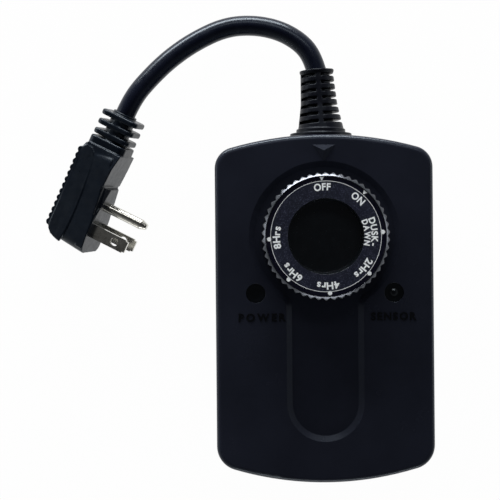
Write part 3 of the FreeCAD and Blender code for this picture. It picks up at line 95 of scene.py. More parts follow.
class NodeSheet:
    """Node tree of a material or of the world, with short calls that add and join its nodes."""

    NOISE_ROUGHNESS = 0.6
    EDGE_SAMPLES = 6

    def __init__(self, owner: Material | World) -> None:
        """Start an empty tree with its coordinates.

        Args:
            owner: Material or world that the tree belongs to.
        """
        owner.use_nodes = True
        self.owner = owner
        self.tree = owner.node_tree
        self.tree.nodes.clear()
        self.place = self.add("ShaderNodeTexCoord").outputs

    def add(self, kind: str, sockets: dict[str | int, object] | None = None, **settings: object) -> Node:
        """Add a node.

        Args:
            kind: Blender's name for the node.
            sockets: Values for input sockets, or the outputs that they are joined to.
            **settings: Values for the node's own properties.

        Returns:
            The new node.
        """
        node = self.tree.nodes.new(kind)
        for name, value in settings.items():
            setattr(node, name, value)
        for name, value in (sockets or {}).items():
            if isinstance(value, NodeSocket):
                self.tree.links.new(value, node.inputs[name])
            else:
                node.inputs[name].default_value = value
        return node

    def noise(self, size: float, detail: float = 3.0, stretch: Vector | None = None) -> NodeSocket:
        """Noise over the object's own coordinates.

        Args:
            size: Distance between blotches in millimetres.
            detail: Octaves of finer noise.
            stretch: How much the coordinates are scaled along each axis first.

        Returns:
            The pattern, which runs from 0 to 1.
        """
        place = self.place["Object"]
        if stretch is not None:
            place = self.add("ShaderNodeMapping", {"Vector": place, "Scale": stretch}).outputs["Vector"]
        return self.add("ShaderNodeTexNoise", {
            "Vector": place, "Scale": 1 / (size * MM), "Detail": detail,
            "Roughness": self.NOISE_ROUGHNESS}).outputs["Fac"]

    def spread(self, pattern: NodeSocket, low: float, high: float, start: float = NOISE_START,
               stop: float = NOISE_STOP) -> NodeSocket:
        """Map a pattern from one range to another.

        Args:
            pattern: The pattern.
            low: Result at start and below.
            high: Result at stop and above.
            start: Lower end of the pattern's range.
            stop: Upper end of the pattern's range.

        Returns:
            The mapped value.
        """
        return self.add("ShaderNodeMapRange", {
            "Value": pattern, "From Min": start, "From Max": stop, "To Min": low,
            "To Max": high}).outputs["Result"]

    def ramp(self, pattern: NodeSocket, stops: Sequence[tuple[float, Colour]]) -> NodeSocket:
        """Colour that runs between stops with a pattern.

        Args:
            pattern: The pattern.
            stops: Position and colour of each stop, from low to high.

        Returns:
            The colour.
        """
        ramp = self.add("ShaderNodeValToRGB", {"Fac": pattern})
        elements = ramp.color_ramp.elements
        while len(elements) < len(stops):
            elements.new(0.5)
        for element, (position, colour) in zip(elements, stops):
            element.position = position
            element.color = (*colour, 1)
        return ramp.outputs["Color"]

    def emboss(self, pattern: NodeSocket, height: float, soft_edge: float) -> NodeSocket:
        """Relief of a pattern, over edges that look slightly rounded.

        Args:
            pattern: The pattern.
            height: Height of the relief in millimetres.
            soft_edge: Radius of the edges in millimetres, or 0 for sharp ones.

        Returns:
            The surface's normal.
        """
        sockets = {"Strength": 1.0, "Distance": height * MM, "Height": pattern}
        if soft_edge:
            edge = self.add("ShaderNodeBevel", {"Radius": soft_edge * MM}, samples=self.EDGE_SAMPLES)
            sockets["Normal"] = edge.outputs["Normal"]
        return self.add("ShaderNodeBump", sockets).outputs["Normal"]


# Finishes

@dataclass(frozen=True)
class Finish:
    """Moulded, coated or bare surface: its colour wanders a little and a fine grain breaks its gloss.

    Sizes are millimetres, and colours are linear.
    """

    name: str
    colour: Colour
    roughness: float
    metallic: float = 0.0
    specular: float = 0.5
    tint: Colour = (1.0, 1.0, 1.0)
    coat: float = 0.0
    mottle: float = 0.18
    mottle_size: float = 14.0
    roughness_spread: float = 0.06
    grain_size: float = 0.4
    grain_height: float = 0.006
    soft_edge: float = 0.0

    COAT_ROUGHNESS = 0.12
    WEAR_SHARE = 0.45

    @cache
    def make(self) -> Material:
        """Build the material on the first call, and hand out the same one later.

        Returns:
            The material.
        """
        sheet = NodeSheet(bpy.data.materials.new(self.name))
        shader = sheet.add("ShaderNodeBsdfPrincipled", {
            "Base Color": self.ground(sheet), "Metallic": self.metallic, "Roughness": self.polish(sheet),
            "Specular IOR Level": self.specular, "Specular Tint": (*self.tint, 1),
            "Coat Weight": self.coat, "Coat Roughness": self.COAT_ROUGHNESS,
            "Normal": self.relief(sheet)})
        sheet.add("ShaderNodeOutputMaterial", {"Surface": shader.outputs["BSDF"]})
        return sheet.owner

    def shade(self, factor: float) -> Colour:
        """The finish's colour, lighter or darker by a factor."""
        return tuple(min(channel * factor, 1.0) for channel in self.colour)

    def ground(self, sheet: NodeSheet) -> NodeSocket:
        """The finish's colour in soft blotches."""
        return sheet.ramp(sheet.noise(self.mottle_size, detail=5.0), (
            (NOISE_START, self.shade(1 - self.mottle)), (NOISE_STOP, self.shade(1 + self.mottle))))

    def polish(self, sheet: NodeSheet) -> NodeSocket:
        """Roughness that varies over handled and untouched places."""
        return sheet.spread(sheet.noise(self.mottle_size * self.WEAR_SHARE, detail=4.0),
                            self.roughness - self.roughness_spread, self.roughness + self.roughness_spread)

    def relief(self, sheet: NodeSheet) -> NodeSocket:
        """Normal with the fine grain."""
        return sheet.emboss(sheet.noise(self.grain_size, detail=2.0), self.grain_height, self.soft_edge)


@dataclass(frozen=True)
class SpeckledPrint(Finish):
    """Printed ground with the fine pale speckle of its ink."""

    speck: Colour = (0.05, 0.05, 0.07)
    speck_size: float = 0.28
    speck_share: float = 0.5
    speck_spread: float = 0.16

    # Sockets that Blender's Mix node uses for colours.
    SHARE_IN = 0
    GROUND_IN = 6
    SPECK_IN = 7
    COLOUR_OUT = 2

    def ground(self, sheet: NodeSheet) -> NodeSocket:
        """Lay the speckle over the blotches of the ground colour.

        Args:
            sheet: The material's node tree.

        Returns:
            The colour.
        """
        specks = sheet.noise(self.speck_size, detail=2.0)
        share = sheet.spread(specks, 0.0, 1.0, self.speck_share, self.speck_share + self.speck_spread)
        mix = sheet.add("ShaderNodeMix", {
            self.SHARE_IN: share, self.GROUND_IN: super().ground(sheet),
            self.SPECK_IN: (*self.speck, 1)}, data_type="RGBA")
        return mix.outputs[self.COLOUR_OUT]


@dataclass(frozen=True)
class DrawnMetal(Finish):
    """Sheet or turned metal with fine lines along one axis and faint tarnish."""

    metallic: float = 1.0
    line_size: float = 0.35
    line_stretch: Triple = (0.04, 1.0, 1.0)
    tarnish: Colour = (0.4, 0.36, 0.28)
    tarnish_start: float = 0.45
    tarnish_stop: float = 0.85

    def ground(self, sheet: NodeSheet) -> NodeSocket:
        """The metal's colour, blended into its tarnish in small clouds."""
        return sheet.ramp(sheet.noise(self.mottle_size, detail=6.0), (
            (self.tarnish_start, self.colour), (self.tarnish_stop, self.tarnish)))

    def relief(self, sheet: NodeSheet) -> NodeSocket:
        """Normal with the drawn lines."""
        lines = sheet.noise(self.line_size, stretch=Vector(self.line_stretch))
        return sheet.emboss(lines, self.grain_height, self.soft_edge)


@dataclass(frozen=True)
class WovenBoard(Finish):
    """Glass laminate under solder lacquer: a fine crossed weave in relief."""

    weave: float = 0.9
    distortion: float = 1.5

    def relief(self, sheet: NodeSheet) -> NodeSocket:
        """Cross two wave patterns for the weave.

        Args:
            sheet: The material's node tree.

        Returns:
            The surface's normal.
        """
        waves = [sheet.add("ShaderNodeTexWave", {
            "Vector": sheet.place["Object"], "Scale": 1 / (self.weave * MM),
            "Distortion": self.distortion}, bands_direction=axis).outputs["Fac"] for axis in ("X", "Y")]
        cross = sheet.add("ShaderNodeMath", dict(enumerate(waves)), operation="MULTIPLY")
        return sheet.emboss(cross.outputs["Value"], self.grain_height, self.soft_edge)


COOL = (0.76, 0.89, 1.0)

FINISHES: dict[str, Finish] = {finish.name: finish for finish in (
    Finish("case_plastic", (0.0118, 0.0136, 0.0220), 0.26, specular=0.2, tint=COOL, mottle_size=40.0,
           soft_edge=0.3, grain_size=0.7, grain_height=0.0025, roughness_spread=0.02),
    Finish("knob_plastic", (0.0018, 0.0033, 0.0044), 0.25, specular=1.0, tint=(0.8, 0.86, 1.0),
           soft_edge=0.1, grain_size=0.8, grain_height=0.001, mottle_size=8.0, roughness_spread=0.03),
    SpeckledPrint("label_print", (0.0075, 0.0082, 0.0185), 0.42, specular=0.4, tint=COOL, grain_size=0.3,
                  grain_height=0.004, mottle=0.3, mottle_size=7.0, speck=(0.086, 0.091, 0.145),
                  speck_size=0.42, speck_share=0.56),
    Finish("window_plastic", (0.0016, 0.0022, 0.0032), 0.16, specular=0.5, tint=COOL, coat=0.2,
           grain_height=0.001, mottle_size=4.0),
    Finish("seal_rubber", (0.01, 0.01, 0.011), 0.7, specular=0.3),
    Finish("boot_rubber", (0.0028, 0.003, 0.0058), 0.38, specular=0.14, tint=COOL, grain_size=0.5,
           grain_height=0.006, mottle_size=6.0),
    Finish("cord_jacket", (0.0034, 0.0046, 0.0112), 0.27, specular=0.28, tint=COOL, grain_size=0.6,
           grain_height=0.004, mottle_size=9.0),
    Finish("plug_vinyl", (0.0024, 0.0042, 0.0082), 0.33, specular=0.24, tint=COOL, grain_size=0.5,
           grain_height=0.006, mottle_size=7.0),
    DrawnMetal("plated_blade", (0.72, 0.71, 0.66), 0.2, mottle_size=2.2, line_size=1.2,
               tarnish=(0.3, 0.3, 0.27), grain_height=0.0015, roughness_spread=0.05),
    DrawnMetal("contact_brass", (0.72, 0.5, 0.2), 0.3, tarnish=(0.45, 0.28, 0.12)),
    DrawnMetal("screw_steel", (0.55, 0.56, 0.58), 0.34, tarnish=(0.3, 0.29, 0.27)),
    WovenBoard("board_laminate", (0.012, 0.1, 0.035), 0.38, coat=0.3, grain_height=0.01),
    Finish("component_black", (0.012, 0.012, 0.013), 0.5),
    Finish("component_blue", (0.02, 0.07, 0.35), 0.4, mottle_size=5.0),
    Finish("component_yellow", (0.62, 0.42, 0.05), 0.42, mottle_size=5.0),
    Finish("component_tan", (0.5, 0.36, 0.2), 0.5, mottle_size=3.0),
    Finish("can_sleeve", (0.015, 0.02, 0.05), 0.3, mottle_size=5.0),
    Finish("light_red", (0.45, 0.02, 0.015), 0.16, coat=0.5, mottle_size=3.0),
    Finish("cell_face", (0.6, 0.3, 0.12), 0.34, mottle_size=2.0, mottle=0.3),
    Finish("switch_nylon", (0.03, 0.03, 0.032), 0.5),
    Finish("outlet_plastic", (0.006, 0.0068, 0.0085), 0.4, soft_edge=0.25),
    Finish("wire_black", (0.01, 0.01, 0.011), 0.4),
    Finish("wire_white", (0.7, 0.69, 0.66), 0.42),
    Finish("wire_green", (0.02, 0.22, 0.05), 0.42),
)}


class Paint(Enum):
    """Finishes that only the finer pieces have, besides the record's slots."""

    PRINT = Finish("white_print", (0.91, 0.96, 1.0), 0.5, specular=0.3, mottle=0.06, mottle_size=1.2,
                   grain_size=0.2, grain_height=0.002)
    # A dark ring laid round the label's outer edge, darker than the label itself.
    BORDER = Finish("dark_border_ring", (0.0022, 0.0024, 0.0095), 0.3, specular=0.35, mottle_size=5.0,
                    grain_height=0.002)
    # The raised words are the case's own plastic with a lower roughness; their much darker colour is
    # painted shade.
    PAINTED_SHADE_GLOSSY_WORDS = Finish("painted_shade_glossy_words", (0.0018, 0.0024, 0.0036), 0.22, specular=0.45, mottle_size=2.0,
                          grain_size=0.6, grain_height=0.012)


def dress(piece: Object, slot: str, body: str, finish: Finish | None = None) -> None:
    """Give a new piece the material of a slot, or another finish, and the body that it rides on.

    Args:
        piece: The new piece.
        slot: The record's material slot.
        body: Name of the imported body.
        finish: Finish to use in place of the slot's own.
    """
    piece.data.materials.clear()
    piece.data.materials.append((finish or FINISHES[slot]).make())
    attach(piece, body)
    log.info("%s: %s on %s", piece.name, slot, body)


# Meshes

# Edges that turn by more degrees than this are shaded sharp.
SHARP_TURN = 38.0
# Share of a side that a round corner may take up, and the points on its round, less one.
EASE_SHARE = 0.45
EASE_STEPS = 4
# Points that are closer than this many millimetres become one.
MERGE_GAP = 0.001
SOFTEN_SHARE = 0.5


def link_object(name: str, data: ID) -> Object:
    """Put data into the scene.

    Args:
        name: Name of the object.
        data: Mesh, curve, lamp or camera.

    Returns:
        The object.
    """
    holder = bpy.data.objects.new(name, data)
    bpy.context.scene.collection.objects.link(holder)
    return holder


def to_mesh(work: BMesh, name: str) -> Mesh:
    """Close the work on a bmesh.

    Args:
        work: The bmesh, which is freed.
        name: Name of the mesh.

    Returns:
        The mesh.
    """
    mesh = bpy.data.meshes.new(name)
    work.to_mesh(mesh)
    work.free()
    return mesh


def to_solid(work: BMesh, name: str) -> Mesh:
    """Close the work on a bmesh, with all faces of its closed forms turned outwards."""
    bmesh.ops.recalc_face_normals(work, faces=work.faces)
    return to_mesh(work, name)


def wall(work: BMesh, low: Ring, high: Ring) -> None:
    """Put faces between two rings with the same number of points.

    Args:
        work: What holds the rings.
        low: One ring.
        high: The other.
    """
    for here in range(len(low)):
        after = (here + 1) % len(low)
        work.faces.new((low[here], low[after], high[after], high[here]))


def cap(work: BMesh, low: Ring, high: Ring) -> None:
    """Close the room between two rings with a wall and both ends.

    Args:
        work: What holds the rings.
        low: One ring.
        high: The other.
    """
    wall(work, low, high)
    work.faces.new(high)
    work.faces.new(list(reversed(low)))


def final_mesh(piece: Object) -> Mesh:
    """Read what a piece's modifiers or curve make.

    Args:
        piece: The piece.

    Returns:
        A mesh of its own.
    """
    bpy.context.view_layer.update()
    graph = bpy.context.evaluated_depsgraph_get()
    return bpy.data.meshes.new_from_object(piece.evaluated_get(graph), depsgraph=graph)


def oval(corners: int, middle: Pair, reach: Pair) -> list[Pair]:
    """Outline of an oval or a circle.

    Args:
        corners: How many it has.
        middle: Its middle.
        reach: Its half size along each axis.

    Returns:
        The corners.
    """
    turns = [math.tau * step / corners for step in range(corners)]
    return [(middle[0] + reach[0] * math.cos(turn), middle[1] + reach[1] * math.sin(turn))
            for turn in turns]


def ease_corners(points: Sequence[Pair], radius: float) -> list[Pair]:
    """Outline with each inner corner drawn round.

    Args:
        points: Corners of an open outline.
        radius: How far from a corner its round stretch starts, at most.

    Returns:
        The eased outline.
    """
    eased = [points[0]]
    for before, here, after in zip(points, points[1:], points[2:]):
        corner = Vector(here)
        back = Vector(before) - corner
        ahead = Vector(after) - corner
        reach = min(radius, back.length * EASE_SHARE, ahead.length * EASE_SHARE)
        start = corner + back.normalized() * reach
        stop = corner + ahead.normalized() * reach
        for step in range(EASE_STEPS + 1):
            share = step / EASE_STEPS
            place = start.lerp(corner, share).lerp(corner.lerp(stop, share), share)
            eased.append((place.x, place.y))
    eased.append(points[-1])
    return eased


def turn_rings(work: BMesh, outline: Sequence[Pair], segments: int, centre: Vector,
               shape: Callable[[float, float], float] | None = None) -> list[Ring]:
    """Add rings of points about a vertical axis, with a wall between each two.

    Args:
        work: What they are added to.
        outline: Radius and height of each ring in millimetres.
        segments: Points in a ring.
        centre: Foot of the axis in metres.
        shape: Radius at a ring's radius and angle, for teeth.

    Returns:
        The rings.
    """
    rings = []
    for radius, height in outline:
        ring = []
        for step in range(segments):
            angle = math.tau * step / segments
            reach = shape(radius, angle) if shape else radius
            spot = Vector((reach * math.cos(angle), reach * math.sin(angle), height)) * MM
            ring.append(work.verts.new(centre + spot))
        rings.append(ring)
    for upper, lower in zip(rings, rings[1:]):
        wall(work, upper, lower)
    return rings


def lathe(name: str, outline: Sequence[Pair], segments: int, centre: Vector,
          shape: Callable[[float, float], float] | None = None) -> Object:
    """Solid turned about a vertical axis, shaded smooth but for its sharp edges.

    Args:
        name: Name of the piece.
        outline: As for turn_rings, with a first and a last point on the axis.
        segments: Points in a ring.
        centre: Foot of the axis in metres.
        shape: As for turn_rings.

    Returns:
        The piece.
    """
    work = bmesh.new()
    rings = turn_rings(work, outline[1:-1], segments, centre, shape)
    for ring, height in ((rings[0], outline[0][1]), (rings[-1], outline[-1][1])):
        tip = work.verts.new(centre + Vector((0, 0, height)) * MM)
        for here, after in zip(ring, ring[1:] + ring[:1]):
            work.faces.new((tip, here, after))
    bmesh.ops.recalc_face_normals(work, faces=work.faces)
    for face in work.faces:
        face.smooth = True
    for edge in work.edges:
        edge.smooth = len(edge.link_faces) == 2 and edge.calc_face_angle(0.0) < math.radians(SHARP_TURN)
    return link_object(name, to_mesh(work, name))


def flat_shapes(outlines: Iterable[Sequence[Pair]], base: float, height: float) -> Mesh:
    """Thin raised shapes, each a closed outline drawn upwards.

    Args:
        outlines: Closed outlines in millimetres.
        base: Height of the lower side in millimetres.
        height: Thickness in millimetres.

    Returns:
        One mesh with all the shapes.
    """
    work = bmesh.new()
    for outline in outlines:
        low = [work.verts.new(Vector((x, y, base)) * MM) for x, y in outline]
        high = [work.verts.new(Vector((x, y, base + height)) * MM) for x, y in outline]
        cap(work, low, high)
    return to_solid(work, "shapes")


def join_piece(name: str, meshes: Iterable[Mesh]) -> Object:
    """Make one piece of several meshes.

    Args:
        name: Name of the piece.
        meshes: The meshes, which are removed.

    Returns:
        The piece.
    """
    work = bmesh.new()
    for mesh in meshes:
        work.from_mesh(mesh)
        bpy.data.meshes.remove(mesh)
    return link_object(name, to_mesh(work, name))


def add_cells(blank: Object, voxel: float) -> None:
    """Let a modifier rebuild a blank from even cells.

    Args:
        blank: The blank.
        voxel: Size of a cell in millimetres.
    """
    remesh = blank.modifiers.new("cells", "REMESH")
    remesh.mode = "VOXEL"
    remesh.voxel_size = voxel * MM


def moulded(name: str, node: str, voxel: float, rounds: int, extras: Iterable[Mesh] = (),
            cutters: Iterable[Mesh] = ()) -> Object:
    """Soft-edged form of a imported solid, as rubber or vinyl leaves its mould.

    Args:
        name: Name of the piece.
        node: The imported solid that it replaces.
        voxel: Size of its cells in millimetres.
        rounds: How often its surface is smoothed.
        extras: Meshes that melt into it.
        cutters: Closed meshes that are cut out of it.

    Returns:
        The piece.
    """
    work = bmesh.new()
    work.from_mesh(frame["nodes"][node].data)
    for extra in extras:
        work.from_mesh(extra)
        bpy.data.meshes.remove(extra)
    bmesh.ops.remove_doubles(work, verts=work.verts, dist=MERGE_GAP * MM)
    blank = link_object(name + "_blank", to_mesh(work, name + "_rough"))
    add_cells(blank, voxel)
    knives = [link_object(name + "_knife", cutter) for cutter in cutters]
    for knife in knives:
        cut = blank.modifiers.new("cut", "BOOLEAN")
        cut.operation = "DIFFERENCE"
        cut.object = knife
    if knives:
        add_cells(blank, voxel)
    smooth = blank.modifiers.new("soften", "SMOOTH")
    smooth.factor = SOFTEN_SHARE
    smooth.iterations = rounds
    mesh = final_mesh(blank)
    for used in [blank, *knives]:
        bpy.data.objects.remove(used)
    mesh.name = name
    for face in mesh.polygons:
        face.use_smooth = True
    piece = link_object(name, mesh)
    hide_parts(node)
    return piece


# Lettering

@dataclass
class Lettering:
    """Plain sans letters as thin solids, cut one by one so that they can follow an arc."""

    cap_height: float
    weight: float
    rise: float
    gap: float
    stretch: float = 1.0

    CAP_SHARE = 0.73
    CURVE_STEPS = 4

    def letter(self, sign: str) -> tuple[Mesh, float]:
        """One letter with its left edge and baseline at the origin.

        Args:
            sign: The letter.

        Returns:
            Its mesh in metres and its width in millimetres.
        """
        curve = bpy.data.curves.new("sign", "FONT")
        curve.body = sign
        curve.size = self.cap_height / self.CAP_SHARE * MM
        curve.offset = self.weight * MM
        curve.extrude = self.rise * MM
        curve.resolution_u = self.CURVE_STEPS
        piece = link_object("sign", curve)
        mesh = final_mesh(piece)
        bpy.data.objects.remove(piece)
        bpy.data.curves.remove(curve)
        left = min(v.co.x for v in mesh.vertices)
        right = max(v.co.x for v in mesh.vertices)
        mesh.transform(Matrix.Diagonal((self.stretch, 1, 1, 1)) @ Matrix.Translation((-left, 0, 0)))
        return mesh, (right - left) * self.stretch / MM

    def spaced(self, word: str) -> list[tuple[Mesh, float, float]]:
        """Letters of a word set out about its middle.

        Args:
            word: What they say.

        Returns:
            Each letter's mesh, its left edge and its width, in millimetres.
        """
        letters = [self.letter(sign) for sign in word]
        length = sum(width for _, width in letters) + self.gap * (len(letters) - 1)
        along = -length / 2
        places = []
        for mesh, width in letters:
            places.append((mesh, along, width))
            along += width + self.gap
        return places

    def on_arc(self, word: str, centre: Vector, radius: float, middle: float) -> list[Mesh]:
        """Letters round an arc, their tops outwards.

        Args:
            word: What they say.
            centre: Centre of the arc at the letters' own height, in metres.
            radius: Radius of the baseline in millimetres.
            middle: Angle of the word's middle, in degrees clockwise from +Y.

        Returns:
            The letters' meshes.
        """
        places = self.spaced(word)
        reading = radius + self.cap_height / 2
        for mesh, left, width in places:
            turn = -math.radians(middle) - (left + width / 2) / reading
            mesh.transform(Matrix.Translation(centre) @ Matrix.Rotation(turn, 4, "Z")
                           @ Matrix.Translation(Vector((-width / 2, radius, 0)) * MM))
        return [mesh for mesh, _, _ in places]

    def on_line(self, word: str, middle: Vector) -> list[Mesh]:
        """Letters on a straight line along X.

        Args:
            word: What they say.
            middle: Middle of the word at half its height, in metres.

        Returns:
            The letters' meshes.
        """
        places = self.spaced(word)
        for mesh, left, _ in places:
            mesh.transform(Matrix.Translation(middle + Vector((left, -self.cap_height / 2, 0)) * MM))
        return [mesh for mesh, _, _ in places]


# Sub-assemblies

def stand_of(node: str) -> tuple[Vector, float, float]:
    """Measure a round node.

    Args:
        node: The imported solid.

    Returns:
        Foot of its axis in metres, and its radius and height in millimetres.
    """
    low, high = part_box(node)
    foot = Vector(((low.x + high.x) / 2, (low.y + high.y) / 2, low.z))
    return foot, (high.x - low.x) / 2 / MM, (high.z - low.z) / MM


@dataclass
class Case:
    """The two shells with all that they hold, and the words raised on the face."""

    windows: tuple[tuple[str, float], ...] = (("power_lens", 0.05), ("sensor_lens", 0.5))
    window_corners: int = 64
    window_sink: float = 0.2
    window_rim: float = 2.9
    rim_run: float = 0.6
    pane_radius: float = 4.2
    flange_height: float = 1.6
    eye_radius: float = 1.7
    eye_steps: int = 8
    lens_sink: float = 0.8
    word_height: float = 3.5
    word_weight: float = 0.16
    word_rise: float = 0.2
    words: tuple[tuple[str, float, float, float], ...] = (
        ("POWER", -28.2, -3.7, 1.05), ("SENSOR", 30.7, -3.6, 0.72))

    def dress_solids(self) -> None:
        """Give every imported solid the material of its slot."""
        for row in frame["record"]["subparts"]:
            for holder in frame["nodes"][row["node"]].material_slots:
                holder.material = FINISHES[row["material_slot"]].make()

    def build_windows(self) -> None:
        """Turn the two windows, each with a faintly sunk disc; the sensor's has a round eye in it."""
        for node, eye_rise in self.windows:
            foot, flange, height = stand_of(node)
            floor = height - self.window_sink
            outline = [(0, floor + eye_rise)]
            for step in range(1, self.eye_steps + 1):
                share = step / self.eye_steps
                outline.append((self.eye_radius * share, floor + eye_rise * (1 - share ** 2)))
            outline += [(self.window_rim, floor), (self.window_rim + self.rim_run, height),
                        (self.pane_radius, height), (self.pane_radius, self.flange_height),
                        (flange, self.flange_height), (flange, 0), (0, 0)]
            piece = lathe(node + "_pane", outline, self.window_corners, foot)
            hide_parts(node)
            dress(piece, "window_plastic", CASE_BODY)

    def build_words(self) -> None:
        """Raise the two words beside the windows."""
        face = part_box("power_lens")[1].z + self.lens_sink * MM
        meshes = []
        for word, x, y, gap in self.words:
            letters = Lettering(self.word_height, self.word_weight, self.word_rise, gap)
            meshes += letters.on_line(word, Vector((x * MM, y * MM, face)))
        piece = join_piece("face_words", meshes)
        # The words wear a darker copy of the case plastic: their gloss is real, their darker colour is
        # painted shade.
        dress(piece, "case_plastic", CASE_BODY, Paint.PAINTED_SHADE_GLOSSY_WORDS.value)


@dataclass
class SelectorKnob:
    """Toothed selector knob: chamfered rim, sunk plate for the label and a deep dish in its middle."""

    teeth: int = 50
    tooth_depth: float = 1.3
    tooth_point: float = 1.15
    chamfer_width: float = 1.75
    chamfer_height: float = 1.75
    chamfer_crown: float = 0.04
    chamfer_rings: int = 8
    chamfer_least: float = 0.4
    slack: float = 0.2
    rim_inner: float = 26.45
    plate_drop: float = 0.6
    dish_radius: float = 16.7
    dish_floor_radius: float = 15.9
    dish_depth: float = 8.0
    skirt: float = 2.1
    plate: float = 2.4
    hub_radius: float = 6.5
    hub_lift: float = 0.4
    floor: float = 2.0
    wall: float = 1.6
    corner: float = 0.3
    points_per_tooth: int = 12

    def build(self) -> None:
        """Turn the knob with its teeth."""
        foot, radius, height = stand_of("selector_knob")
        dish = height - self.dish_depth
        plate = height - self.plate_drop
        under = plate - self.plate
        inner = radius - self.skirt
        sharp = [(0, dish), (self.dish_floor_radius, dish), (self.dish_radius, plate),
                 (self.rim_inner, plate)]
        eased = ease_corners([
            (self.rim_inner, height), (radius - self.chamfer_width, height),
            (radius, height - self.chamfer_height), (radius, 0), (inner, 0), (inner, under),
            (self.dish_radius + self.wall, under), (self.dish_floor_radius + self.wall, dish - self.floor),
            (self.hub_radius, dish - self.floor), (self.hub_radius, self.hub_lift), (0, self.hub_lift)],
            self.corner)

        def toothed(reach: float, angle: float) -> float:
            """Radius cut back between the teeth."""
            valley = abs(2 * (self.teeth * angle / math.tau % 1) - 1) ** self.tooth_point
            return reach if reach < inner + self.slack else min(reach, radius - self.tooth_depth * valley)

        piece = lathe("selector_knob_moulding", self.divide_rim(sharp + eased, radius, height),
                      self.teeth * self.points_per_tooth, foot, toothed)
        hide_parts("selector_knob")
        dress(piece, "knob_plastic", KNOB_BODY)

    def divide_rim(self, outline: list[Pair], radius: float, height: float) -> list[Pair]:
        """Crown the chamfer and divide it into rings, so that the teeth run out cleanly on it.

        Args:
            outline: The knob's outline.
            radius: Outer radius.
            height: Height of the rim.

        Returns:
            The outline with more points between the chamfer's ends.
        """
        divided = []
        for here, after in zip(outline, outline[1:]):
            divided.append(here)
            on_chamfer = here[0] > radius - self.chamfer_width - self.slack / 2 and after[0] > here[0]
            long_enough = here[1] - after[1] > self.chamfer_least
            if on_chamfer and long_enough and here[1] > height - self.chamfer_height:
                for n in range(1, self.chamfer_rings):
                    share = n / self.chamfer_rings
                    rise = self.chamfer_crown * 4 * share * (1 - share)
                    divided.append((here[0] + (after[0] - here[0]) * share + rise,
                                    here[1] + (after[1] - here[1]) * share + rise))
        divided.append(outline[-1])
        return divided


@dataclass(frozen=True)
class Setting:
    """One place of the dial: its words, and angles of mark and words in degrees clockwise from +Y."""

    word: str
    mark_angle: float
    word_angle: float
    inner_word: str = ""
    arrow: bool = False


